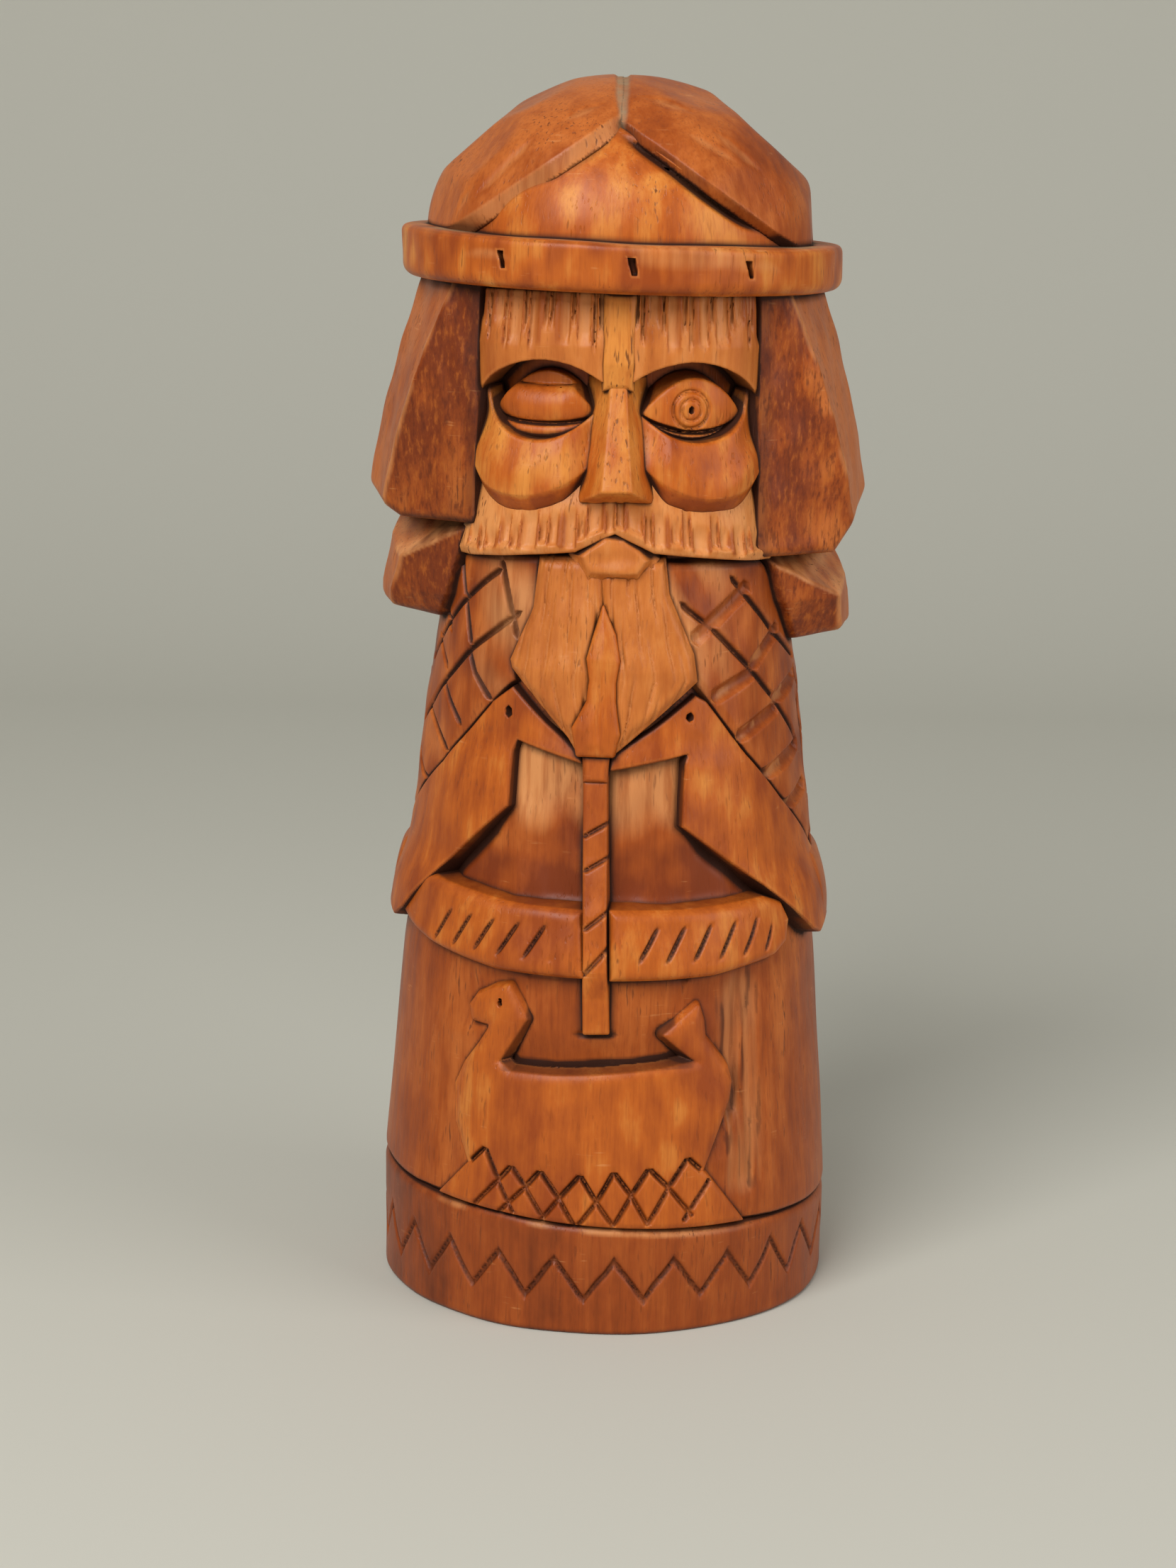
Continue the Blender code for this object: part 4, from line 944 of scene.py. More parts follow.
def add_brow(word, side):
    """Forehead with an arched lower edge and a fringe of gouge cuts."""
    outline = mirrored(BROW_ARCH + [(53.0, 225.5), (53.0, BROW_TOP), (3.4, BROW_TOP)], side)

    def height(angle, level, inside, p):
        away = np.abs(angle)
        rise = np.interp(level, [222.0, 228.0, 238.0, 250.0], [4.6, 6.2, 6.8, 5.6])
        rise = rise - face_side(away) - 0.9 * ease(away, 5.2, 3.4)
        return rise - 0.9 * brow_strokes(angle, level) + 0.15 * wobble(p, 9.0, 23)

    # Painted shade between the fringe's cuts
    def tone(angle, level, inside, p):
        place, ends = brow_cuts(angle, level)
        return 0.46 - 0.50 * ends * ease(place, 0.45, 0.80)
    add_relief("brow_" + word, FACE_TURN, outline, height, 6.6, FACE_RADIUS, slant=-0.2, edge=0.6, soot=0.7,
               fresh=marked(brow_strokes, 0.6), tone=tone)


BROW_BAR = [(-4.6, BROW_EDGE - 2.0), (4.6, BROW_EDGE - 2.0), (5.2, BROW_TOP), (-4.4, BROW_TOP)]


def brow_bar_height(angle, level, inside, p):
    """Flat upright bar."""
    return np.interp(level, [228.0, 234.0, 250.0], [6.2, 7.4, 6.4]) - 0.6 * falling(inside, 1.2)


add_relief("brow_bar", FACE_TURN, BROW_BAR, brow_bar_height, 7.4, FACE_RADIUS, slant=0.15, edge=0.6,
           tone=0.85)
FACE_SIDES = [("left", -1, 0.74, "closed", eye_closed_height),
              ("right", 1, 0.58, "open", eye_open_height)]
for word, side, cheek_tone, eye_word, eye_height in FACE_SIDES:
    add_cheek(word, side, cheek_tone)
    add_brow(word, side)
    add_eye(eye_word, side, eye_height)


def on_trunk(angle, level, rise):
    """Plan place (x, y) at an angle that stands above the trunk's ground."""
    radius = ground(level, np.asarray(angle)) + rise
    turn = np.radians(angle)
    return radius * np.sin(turn), -radius * np.cos(turn)


def nose_field(p):
    """Wedge nose with a flat front facet, side facets and a sloping underside."""
    share = limited((BROW_EDGE + 1.0 - p.z) / (BROW_EDGE + 1.0 - NOSE_BASE))
    rise = 5.4 + 8.4 * share ** 1.15
    flat_half = 1.7 + 2.0 * share
    wing_half = 3.6 + 6.6 * share ** 1.2
    across = np.abs(p.x - HEAD_RADIUS * math.sin(math.radians(FACE_TURN)))
    ahead = -p.y - HEAD_RADIUS
    front = ahead - rise
    slope = (rise - 2.0) / (wing_half - flat_half)
    side = (front + slope * (across - flat_half)) / np.sqrt(1.0 + slope * slope)
    under = (NOSE_BASE - 2.4 - p.z + 0.42 * (ahead - 3.0)) / 1.08
    body = soft_max(soft_max(front, side, 0.5), under, 0.6)
    shape = 0.95 * np.maximum(body, p.z - BROW_EDGE - 0.6) + 0.06 * wobble(p, 6.0, 25)
    return np.maximum(np.maximum(shape, 33.0 + p.y), np.abs(p.x) - 12.0)


add_piece("nose", nose_field, ((-15.0, -56.0, 194.0), (15.0, -30.0, 234.0)), FINE, tone=0.70)

# Hair locks


def lock_corners(p, rows, side):
    """Corners in plan of a lock, moving straight between its rows of (level, [(angle, rise), ...])."""
    levels = [level for level, points in rows]
    corners = []
    for column in zip(*[points for level, points in rows]):
        spots = zip(levels, column)
        places = [on_trunk(FACE_TURN + side * angle, level, rise) for level, (angle, rise) in spots]
        corners.append([np.interp(p.z, levels, line) for line in zip(*places)])
    return corners


def hair_shape(p, rows, side, rough, foot, head):
    """Distance to hair between its rows, cut off at a foot and a head."""
    shape = outline_distance(p.x, p.y, lock_corners(p, rows, side)) + rough
    return soft_max(soft_max(shape, foot - p.z, 2.4), p.z - head, 0.8)


# Stain of the locks' fronts, left (-1) and right (1): its tone, how much darker it is made and the mottle
LOCK_TONE = {-1: 0.0, 1: 0.26}
LOCK_DARKENING = {-1: 0.22, 1: 0.0}
LOCK_MOTTLE = {-1: 0.16, 1: 0.40}


def add_lock(name, side, rows, foot, head, golden_foot, chamfer=None):
    """Faceted lock of hair between a foot and a head; its front is dark above a golden foot."""
    def field(p):
        body = hair_shape(p, rows, side, 0.20 * wobble(p, 9.0, 31), foot(p, side), head)
        if chamfer:
            body = soft_max(body, chamfer(p, side), 0.6)
        return 0.92 * body

    corners = []
    for level, points in rows:
        for angle, rise in points:
            x, y = on_trunk(FACE_TURN + side * angle, level, rise)
            corners.append((float(x), float(y), level))
    corners = np.array(corners)

    def past_ridge(p):
        ridge = np.interp(p.z, [level for level, points in rows], [points[2][0] for level, points in rows])
        return np.abs(p.angle - FACE_TURN) - ridge

    def on_front(p):
        return ease(past_ridge(p), 1.0, -1.0)

    def chamfered(p):
        return ease(chamfer(p, side), -0.9, -0.3) if chamfer else np.zeros(p.x.shape)

    def grainy(p):
        return on_front(p) * (1.0 - chamfered(p))

    def fresh(p):
        worn_ridge = ease(np.abs(past_ridge(p) - 0.3), 1.5, 0.3) * ease(wobble(p, 12.0, 55), -1.1, 0.1)
        facet = chamfered(p) * limited(0.7 + 0.5 * wobble(p, 7.0, 34))
        return np.maximum(0.62 * worn_ridge, 0.85 * facet)

    def tone(p):
        golden = golden_foot * ease(p.z - foot(p, side) + 4.0 * wobble(p, 14.0, 59), 30.0, 4.0)
        front = LOCK_TONE[side] + golden
        return front + (0.90 - front) * ease(past_ridge(p), -1.0, 1.5)

    # Painted shade along the inner edge beside the face, and a darker front on one side
    def grime(p):
        inner_shade = 0.34 * ease(np.abs(p.angle - FACE_TURN), 55.0, 48.0)
        return np.maximum(inner_shade, LOCK_DARKENING[side] * on_front(p))

    def mottle(p):
        return LOCK_MOTTLE[side] * on_front(p)
    box = (corners.min(0) - 7.0, corners.max(0) + 7.0)
    add_piece(name, field, box, PLAIN, grainy=grainy, fresh=fresh, tone=tone, grime=grime, mottle=mottle)


def upper_rows():
    """Upper lock: a front facet, a ridge and a side facet, widening to the foot."""
    rows = []
    for share in np.linspace(0.0, 1.16, 10):
        ridge = 55.0 + 19.0 * share ** 0.9
        outer = 11.0 + 13.0 * share + 1.7 * max(math.sin(math.pi * share), 0.0)
        points = [(47.0, -5.0), (47.0, 4.4 + 1.2 * share), (ridge, outer - 2.6), (90.0, outer + 0.4),
                  (106.0, outer), (106.0, -5.0), (76.0, -9.0)]
        rows.append((BRIM_BOTTOM - 56.5 * share, points))
    return rows[::-1]


# Lower lock: a shorter block under the upper one
LOWER_ROWS = [
    (164.0, [(72.0, -3.0), (74.0, 5.5), (82.0, 15.5), (92.0, 17.5), (106.0, 16.5), (106.0, -4.0),
             (90.0, -7.0)]),
    (176.0, [(60.0, -4.0), (62.0, 6.0), (76.0, 16.8), (91.0, 18.4), (106.0, 17.0), (106.0, -4.0),
             (84.0, -8.0)]),
    (200.0, [(50.0, -4.0), (50.0, 4.0), (66.0, 14.0), (90.0, 16.0), (106.0, 15.0), (106.0, -4.0),
             (78.0, -8.0)]),
]
OUTER_FOOT_SLOPE = {-1: 0.6, 1: 1.5}


def upper_foot(p, side):
    """The upper lock's foot, which rises at its outer corner."""
    return LOCK_FOOT[side] + OUTER_FOOT_SLOPE[side] * np.maximum(np.abs(p.x) - 52.5, 0.0)


def lower_foot(p, side):
    """The lower lock's foot, which rises outwards."""
    return LOWER_LOCK_FOOT[side] + 0.14 * (np.abs(p.x) - 42.0)


def lower_chamfer(p, side):
    """Sloping facet on top of the lower lock."""
    top = LOCK_FOOT[side] - 3.2
    return (p.z - top + 0.75 * (np.abs(p.x) - 42.0) - 0.35 * (p.y + 20.0)) / 1.3


for word, side in (("left", -1), ("right", 1)):
    add_lock("lock_upper_" + word, side, upper_rows(), upper_foot, BRIM_BOTTOM + 1.0, 0.42)
    add_lock("lock_lower_" + word, side, LOWER_ROWS, lower_foot, LOCK_FOOT[side] + 4.0, 0.0, lower_chamfer)

# Hair across the back: how many locks, how deep the notches between them, and the first and last angle
BACK_LOCKS = 5
BACK_NOTCH = 5.0
BACK_FIRST = 105.6
BACK_LAST = 254.4


def back_row(level, rise):
    """Corners of the hair across the back at one level: a notch and a ridge in turn, then the inside."""
    facets = 2 * BACK_LOCKS
    angles = [BACK_FIRST + (BACK_LAST - BACK_FIRST) * step / facets for step in range(facets + 1)]
    outside = [(angle, rise - BACK_NOTCH * (1 - step % 2)) for step, angle in enumerate(angles)]
    return level, outside + [(angle, -5.0) for angle in angles[::-1]]


def add_back_hair(name, rows, foot, head):
    """Tier of ridged locks across the back of the head."""
    def field(p):
        uneven_foot = foot + 0.35 * wobble(p, 25.0, 36)
        return 0.92 * hair_shape(p, rows, 1, 0.25 * wobble(p, 11.0, 33), uneven_foot, head)

    def ridge_share(p):
        lock = ((p.angle - FACE_TURN) % 360.0 - BACK_FIRST) / (BACK_LAST - BACK_FIRST) * BACK_LOCKS
        return 1.0 - 2.0 * np.abs(lock % 1.0 - 0.5)

    # Painted shade in the notches between the locks
    def grime(p):
        return 0.30 * ease(ridge_share(p), 0.13, 0.0)

    def fresh(p):
        return 0.40 * ease(ridge_share(p), 0.93, 1.0) * ease(wobble(p, 12.0, 55), -0.7, 0.3)
    box = ((-64.0, -4.0, foot - 4.0), (64.0, 68.0, head + 4.0))
    add_piece(name, field, box, PLAIN, grainy=0.45, tone=0.42, grime=grime, fresh=fresh, mottle=0.1)


add_back_hair("hair_upper_back", [back_row(BACK_HAIR_FOOT, 19.5), back_row(BACK_HAIR_FOOT + 4.0, 23.5),
                                  back_row(BRIM_BOTTOM, 11.0)], BACK_HAIR_FOOT, BRIM_BOTTOM + 1.0)
add_back_hair("hair_lower_back", [back_row(BACK_LOWER_FOOT, 17.0), back_row(BACK_HAIR_FOOT, 15.0)],
              BACK_LOWER_FOOT, BACK_HAIR_FOOT + 3.0)

# Helmet

SLOT_ANGLES = [-32.0, 2.3, 33.6]
SLOT_LEVEL = 257.0
BRIM_LEAN = 0.032


def brim_field(p):
    """Brim ring with rounded edges and three small upright slots at the front."""
    side = p.radius - BRIM_RADIUS + 0.3 * (1.0 - wobble(p, 26.0, 41)) + 0.05 * wobble(p, 5.0, 42)
    lean = BRIM_LEAN * p.x
    body = soft_max(side, p.z - BRIM_TOP + 0.25 * wobble(p, 30.0, 43) + lean, 2.0)
    body = soft_max(body, BRIM_BOTTOM - 0.6 * lean - p.z, 3.4)
    slots = np.full(p.x.shape, 1e9)
    for angle in SLOT_ANGLES:
        off = swing(p.angle - angle) * math.radians(BRIM_RADIUS)
        height = p.z - SLOT_LEVEL + 0.8 * lean
        wide = np.abs(off + 0.22 * height) - 0.75 - 0.07 * height + 0.12 * wobble(p, 2.2, 46)
        slots = np.minimum(slots, np.maximum(np.maximum(wide, np.abs(height) - 2.0), 50.0 - p.radius))
    return 0.95 * np.maximum(np.maximum(body, -slots), 34.0 - p.radius)


def brim_dust(p):
    """Dust on the ledge between the brim and the dome."""
    ledge = ease(p.z + BRIM_LEAN * p.x, BRIM_TOP - 1.1, BRIM_TOP - 0.4) * ease(p.radius, 52.4, 50.0)
    return ledge * limited(0.45 + 0.3 * wobble(p, 16.0, 47))


def brim_fresh(p):
    """Worn patches along the upper half of the front."""
    band = ease(p.z + BRIM_LEAN * p.x, 255.5, 259.0) * ease(np.abs(p.angle), 80.0, 45.0)
    return 0.5 * band * ease(wobble(p, 15.0, 58), -0.1, 0.8)


add_piece("helmet_brim", brim_field, ((-57.0, -57.0, 247.0), (57.0, 57.0, 266.0)), FINE, tone=0.42,
          soot=0.8, mottle=0.28, dust=brim_dust, fresh=brim_fresh)

# Facets of the dome, and the two flats on its sides as (way x, way z, distance)
DOME_FACETS = 19
SIDE_FLATS = [(-0.655, 0.756, 40.0), (0.648, 0.762, 39.4)]


def dome_distance(p, inset, hewn=0.0):
    """Distance to the helmet's dome, drawn in by an inset and hewn in broad flat facets."""
    wide, tall = CROWN_RADIUS - inset, TOP - BRIM_TOP - inset
    up = np.maximum(p.z - BRIM_TOP, 0.0)
    spread = (p.radius / wide) ** 2 + (up / tall) ** 2
    slope = np.hypot(2.0 * p.radius / wide ** 2, 2.0 * up / tall ** 2)
    distance = (spread - 1.0) / np.maximum(slope, 0.012)
    for way_x, way_z, reach in SIDE_FLATS:
        distance = soft_max(distance, way_x * p.x + way_z * (p.z - BRIM_TOP) - reach + inset, 0.6)
    if hewn == 0.0:
        return distance
    dice = np.random.default_rng(48)
    for facet in range(DOME_FACETS):
        turn = facet * math.pi * (3.0 - math.sqrt(5.0)) + dice.uniform(-0.3, 0.3)
        rise = 0.06 + 0.90 * (facet + 0.5) / DOME_FACETS
        flat = math.sqrt(1.0 - rise * rise)
        reach = math.hypot(wide * flat, tall * rise) - hewn * dice.uniform(0.5, 1.0)
        plane = flat * (p.x * math.cos(turn) + p.y * math.sin(turn)) + rise * (p.z - BRIM_TOP) - reach
        distance = soft_max(distance, plane, 0.5)
    return distance


# The bare triangle on the front
APEX = 286.4
PANEL_HALF = 35.5
PANEL_SLOPE = PANEL_HALF / (APEX - BRIM_TOP)
HELMET_MIDDLE = -0.8


def panel_distance(p, side):
    """Distance from the edge of the bare triangle, positive on the plate of that side."""
    across = side * (p.x - HELMET_MIDDLE)
    return (across - (APEX - p.z) * PANEL_SLOPE) / math.hypot(1.0, PANEL_SLOPE)


def right_slot(p):
    """Share of the deep cut along the right edge of the triangle, which tapers at both ends."""
    taper = ease(p.z, 263.5, 269.0) * ease(p.z, 287.5, 280.0) * ease(p.y, 10.0, -10.0)
    return taper * peak(panel_distance(p, 1) + 0.4, 1.7)


def crown_field(p):
    """Bare front of the helmet, softly swelling to the middle of its triangle."""
    shape = dome_distance(p, 2.6) + 0.2 * wobble(p, 16.0, 44) + 2.8 * right_slot(p)
    return 0.9 * np.maximum(shape, BRIM_TOP - 3.0 - p.z)


def crown_grime(p):
    """Painted shade in the deep cut."""
    return 0.5 * right_slot(p)


add_piece("helmet_crown", crown_field, ((-50.0, -50.0, 257.0), (50.0, 50.0, 303.0)), PLAIN, tone=0.58,
          soot=0.8, mottle=0.17, grime=crown_grime)

# Plates on the left (-1) and the right (1): long dents as paths of (x, z), the width of the bevel, and
# how pale it is and how much painted shade it gets
PLATE_DENTS = {
    -1: [[(-36.0, 270.0), (-20.0, 286.0)], [(-17.0, 288.0), (-4.0, 293.5)], [(-40.0, 266.0), (-35.0, 275.0)]],
    1: [[(3.0, 295.0), (17.0, 291.0)], [(12.0, 288.0), (28.0, 279.0)], [(19.0, 288.5), (33.0, 277.0)]],
}
PLATE_BEVEL = {-1: 4.2, 1: 2.6}
BEVEL_FRESH = {-1: 0.5, 1: 0.0}
BEVEL_SHADE = {-1: 0.0, 1: 1.0}


def seam_share(p):
    """Share of the shallow groove where the plates meet, wider towards the top."""
    half = 0.8 + 0.8 * ease(p.z, 287.0, 299.0)
    return ease(np.abs(p.x - HELMET_MIDDLE + 0.15 * wobble(p, 8.0, 56)), half + 0.5, half - 0.5)


def add_plate(word, side, tone):
    """Raised helmet plate: a broad bevel along the left edge, a steep wall along the right one."""
    bevel = PLATE_BEVEL[side]

    def dents(p):
        return 0.45 * deepest_cut(p.x, p.z, PLATE_DENTS[side], 1.0, 2.6, 6.0) * ease(p.y, 6.0, -6.0)

    def field(p):
        edge = panel_distance(p, side)
        drop = np.maximum(2.5 * falling(edge, bevel), 0.55 * seam_share(p))
        body = dome_distance(p, 0.0, 1.9) + 0.12 * wobble(p, 13.0, 45 + side) + 0.12 + drop + dents(p)
        body = np.maximum(body, -edge)
        body = np.maximum(body, -side * (p.x - HELMET_MIDDLE) - 0.3)
        body = np.maximum(body, -dome_distance(p, 5.0))
        return 0.9 * np.maximum(body, BRIM_TOP - 3.0 - p.z)

    def on_bevel(p):
        return ease(panel_distance(p, side), bevel + 0.3, bevel - 0.3) * ease(p.y, 10.0, -6.0)

    def fresh(p):
        return BEVEL_FRESH[side] * on_bevel(p) + 0.30 * ease(dents(p), 0.05, 0.4)

    # Painted shade in streaks on the bevel of the right plate
    def grime(p):
        streak = 0.13 + 0.13 * wobble(p, 6.0, 57)
        return BEVEL_SHADE[side] * on_bevel(p) * np.maximum(streak, 0.0)

    def tone_with_shade(p):
        # Painted shade on the right plate, and a lighter worn patch below it
        shade_patch = np.exp(-((p.x - 32.0) / 8.0) ** 2 - ((p.z - 283.0) / 7.0) ** 2)
        worn = np.exp(-((p.x - 39.0) / 6.0) ** 2 - ((p.z - 268.0) / 5.0) ** 2)
        return tone + (0.35 * worn - 0.45 * shade_patch) * ease(p.y, 8.0, -4.0)

    def dust(p):
        return seam_share(p) * ease(p.z, APEX - 1.0, APEX + 6.0)
    box = ((-51.0, -51.0, 257.0), (51.0, 51.0, 303.0))
    add_piece("helmet_plate_" + word, field, box, PLAIN, tone=tone_with_shade, fresh=fresh, grime=grime, dust=dust)


add_plate("left", -1, 0.82)
add_plate("right", 1, 0.56)


# Meshing

# A rough block counts as near the surface within this many block lengths
NEAR_BLOCK = 1.35

# In grid steps: how far the slope is felt for, and how far a vertex may leave its cell
SLOPE_REACH = 0.12
OVERSHOOT = 0.05

# How strongly a vertex is drawn to the middle of the crossings round it
MIDDLE_PULL = 0.12

# Reach and weight of the probes out of the wood for the painted shade in recesses, and into it for exposed
# edges
RECESS_PROBES = ((0.8, 0.4), (2.0, 0.35), (4.5, 0.25))
EDGE_PROBES = ((0.7, 0.6), (1.6, 0.4))
PROBE_SLACK = 0.9
FAR_AWAY = 6.0


def in_chunks(field, places):
    """Evaluates a field on many places, some at a time."""
    starts = range(0, len(places), CHUNK)
    return np.concatenate([field(Points(places[start:start + CHUNK])) for start in starts])


def slope_at(field, places, reach):
    """Unit slope of a field."""
    here = in_chunks(field, places)
    slope = np.empty(places.shape)
    for axis in range(3):
        moved = places.copy()
        moved[:, axis] += reach
        slope[:, axis] = in_chunks(field, moved) - here
    length = np.linalg.norm(slope, axis=1, keepdims=True)
    return slope / np.maximum(length, 1e-9)


def sample(piece):
    """Field values on a grid, worked out only near the surface."""
    step = piece.step
    blocks = np.ceil((piece.high - piece.low) / (step * BLOCK)).astype(int)
    index = np.stack(np.meshgrid(*[np.arange(n) for n in blocks], indexing="ij"), -1).reshape(-1, 3)
    rough = in_chunks(piece.field, piece.low + (index + 0.5) * step * BLOCK).reshape(blocks)
    near = np.abs(rough) < step * BLOCK * NEAR_BLOCK
    values = rough
    for axis in range(3):
        values = np.repeat(values, BLOCK, axis)
        near = np.repeat(near, BLOCK, axis)
    values = values.copy()
    chosen = np.argwhere(near)
    values[near] = in_chunks(piece.field, piece.low + (chosen + 0.5) * step)
    return values, near


def polygonise(piece):
    """Dual contouring: vertices and quads of the field's zero surface, with cut edges kept crisp."""
    values, near = sample(piece)
    step = piece.step
    shape = values.shape
    strides = np.array([shape[1] * shape[2], shape[2], 1])
    cells, places, slopes, quads = [], [], [], []
    for axis in range(3):
        low = [slice(None)] * 3
        high = [slice(None)] * 3
        low[axis], high[axis] = slice(0, -1), slice(1, None)
        low, high = tuple(low), tuple(high)
        crosses = ((values[low] < 0.0) != (values[high] < 0.0)) & near[low] & near[high]
        index = np.argwhere(crosses)
        first, second = values[low][crosses], values[high][crosses]
        place = piece.low + (index + 0.5) * step
        place[:, axis] += step * first / (first - second)
        slope = slope_at(piece.field, place, SLOPE_REACH * step)
        base = index @ strides
        next_axis, last_axis = strides[(axis + 1) % 3], strides[(axis + 2) % 3]
        corners = np.stack([base - next_axis - last_axis, base - last_axis, base, base - next_axis], 1)
        quads.append(np.where((first < 0.0)[:, None], corners, corners[:, ::-1]))
        for column in range(4):
            cells.append(corners[:, column])
            places.append(place)
            slopes.append(slope)
    quads = np.concatenate(quads)
    cells, places, slopes = np.concatenate(cells), np.concatenate(places), np.concatenate(slopes)
    used, number = np.unique(cells, return_inverse=True)
    count = np.bincount(number)
    middle = np.stack([np.bincount(number, places[:, axis]) / count for axis in range(3)], 1)
    offset = np.einsum("ij,ij->i", slopes, places - middle[number])
    matrix = np.empty((len(used), 3, 3))
    target = np.empty((len(used), 3))
    for row in range(3):
        target[:, row] = np.bincount(number, slopes[:, row] * offset)
        for column in range(3):
            matrix[:, row, column] = np.bincount(number, slopes[:, row] * slopes[:, column])
    matrix += np.eye(3) * MIDDLE_PULL
    shift = np.linalg.solve(matrix, target[:, :, None])[:, :, 0]
    corner = piece.low + (np.stack(np.unravel_index(used, shape), 1) + 0.5) * step
    slack = OVERSHOOT * step
    vertices = np.clip(middle + shift, corner - slack, corner + step + slack)
    return vertices, np.searchsorted(used, quads)


def figure_distance(places):
    """Distance to the whole figure, from the pieces whose boxes hold a place."""
    nearest = np.full(len(places), FAR_AWAY)
    for start in range(0, len(places), CHUNK):
        points = Points(places[start:start + CHUNK])
        part = nearest[start:start + CHUNK]
        where = np.stack([points.x, points.y, points.z], 1)
        for piece in PIECES.values():
            held = np.flatnonzero(((where > piece.low) & (where < piece.high)).all(1))
            if len(held):
                part[held] = np.minimum(part[held], piece.field(points.pick(held)))
    return nearest


def carve_marks(piece, vertices, normals):
    """Two colours per vertex: painted shade with dirt, exposed edge, fresh cut and end grain, then tone and
    dust.
    """
    # Painted shade in the recesses: darker where the figure closes in round a vertex, like ambient occlusion
    shade_with_dirt = np.zeros(len(vertices))
    for reach, weight in RECESS_PROBES:
        shade_with_dirt += weight * falling(figure_distance(vertices + normals * reach), PROBE_SLACK * reach)
    exposed = np.zeros(len(vertices))
    for reach, weight in EDGE_PROBES:
        depth = -in_chunks(piece.field, vertices - normals * reach)
        exposed += weight * falling(depth, PROBE_SLACK * reach)
    outward = vertices[:, :2] / np.maximum(np.linalg.norm(vertices[:, :2], axis=1, keepdims=True), 1e-6)
    facing = np.einsum("ij,ij->i", outward, normals[:, :2])
    # Each piece scales its painted recess shade
    shade_with_dirt *= piece.mark("soot", vertices, 1.0)
    # Painted shade on steep sides that turn away from the outside, then the piece's dirt and painted shade
    shade_with_dirt += 0.30 * piece.mark("walls", vertices) * ease(facing, 0.60, 0.15) + piece.mark("grime", vertices)
    carve = np.stack([shade_with_dirt, exposed, piece.mark("fresh", vertices), piece.mark("grainy", vertices)], 1)
    blank = np.zeros(len(vertices))
    mottle = piece.mark("mottle", vertices) * wobble(Points(vertices), 8.0, 64, tall=1.8)
    tone = piece.mark("tone", vertices, 0.5) + mottle
    stain = np.stack([tone, piece.mark("dust", vertices), blank, blank], 1)
    return limited(carve), limited(stain)


def new_object(name, data):
    """New object in the scene."""
    obj = bpy.data.objects.new(name, data)
    bpy.context.scene.collection.objects.link(obj)
    return obj


def make_mesh(piece):
    """Blender object of one carved region."""
    vertices, quads = polygonise(piece)
    mesh = bpy.data.meshes.new(piece.name + "_carved")
    mesh.vertices.add(len(vertices))
    mesh.vertices.foreach_set("co", (vertices * MM).astype(np.float32).ravel())
    mesh.loops.add(quads.size)
    mesh.loops.foreach_set("vertex_index", quads.astype(np.int32).ravel())
    mesh.polygons.add(len(quads))
    mesh.polygons.foreach_set("loop_start", np.arange(0, quads.size, 4, dtype=np.int32))
    mesh.update(calc_edges=True)
    mesh.validate()
    mesh.shade_smooth()
    normals = np.empty(len(mesh.vertices) * 3, np.float32)
    mesh.vertex_normals.foreach_get("vector", normals)
    carve, stain = carve_marks(piece, vertices, normals.reshape(-1, 3).astype(float))
    for layer_name, values in (("carve", carve), ("stain", stain)):
        layer = mesh.color_attributes.new(layer_name, "FLOAT_COLOR", "POINT")
        layer.data.foreach_set("color", values.astype(np.float32).ravel())
    return new_object(piece.name + "_carved", mesh)


# Wood


def add_node(tree, kind, **inputs):
    """New shader node with constant inputs set by name."""
    node = tree.nodes.new(kind)
    for name, value in inputs.items():
        node.inputs[name.replace("_", " ")].default_value = value
    return node


class Grey:
    """One grey value of a shader; sums, products and ramps of it add the nodes they need."""

    def __init__(self, tree, socket):
        self.tree = tree
        self.socket = socket

    def maths(self, operation, other):
        """This value joined with another one or with a plain number."""
        node = self.tree.nodes.new("ShaderNodeMath")
        node.operation = operation
        self.tree.links.new(self.socket, node.inputs[0])
        if isinstance(other, Grey):
            self.tree.links.new(other.socket, node.inputs[1])
        else:
            node.inputs[1].default_value = other
        return Grey(self.tree, node.outputs["Value"])

    def __add__(self, other):
        return self.maths("ADD", other)

    def __mul__(self, other):
        return self.maths("MULTIPLY", other)

    def ramp(self, low, high, start=0.0, end=1.0):
        """Straight, clamped change from start to end while the value goes from low to high."""
        node = add_node(self.tree, "ShaderNodeMapRange", From_Min=low, From_Max=high, To_Min=start,
                        To_Max=end)
        self.tree.links.new(self.socket, node.inputs["Value"])
        return Grey(self.tree, node.outputs["Result"])


def tint(tree, share, under, colour):
    """A plain colour laid over another colour by a share."""
    node = tree.nodes.new("ShaderNodeMix")
    node.data_type = "RGBA"
    tree.links.new(share.socket, node.inputs[0])
    if isinstance(under, tuple):
        node.inputs[6].default_value = (*under, 1.0)
    else:
        tree.links.new(under, node.inputs[6])
    node.inputs[7].default_value = (*colour, 1.0)
    return node.outputs[2]


def read_marks(tree, layer_name):
    """Red, green, blue and alpha of one colour layer of the mesh."""
    marks = tree.nodes.new("ShaderNodeAttribute")
    marks.attribute_name = layer_name
    split = tree.nodes.new("ShaderNodeSeparateColor")
    tree.links.new(marks.outputs["Color"], split.inputs["Color"])
    channels = [split.outputs[channel] for channel in ("Red", "Green", "Blue")] + [marks.outputs["Alpha"]]
    return [Grey(tree, channel) for channel in channels]


END_GRAIN_DARK = (0.11, 0.017, 0.004)
END_GRAIN_LIGHT = (0.46, 0.115, 0.014)
FRESH_CUT = (0.68, 0.290, 0.100)
WORN_EDGE = (0.66, 0.210, 0.040)
# Near-black brown of painted shade and dirt
SHADE_AND_DIRT = (0.026, 0.007, 0.003)
PORE = (0.075, 0.018, 0.005)
DUST = (0.31, 0.230, 0.135)


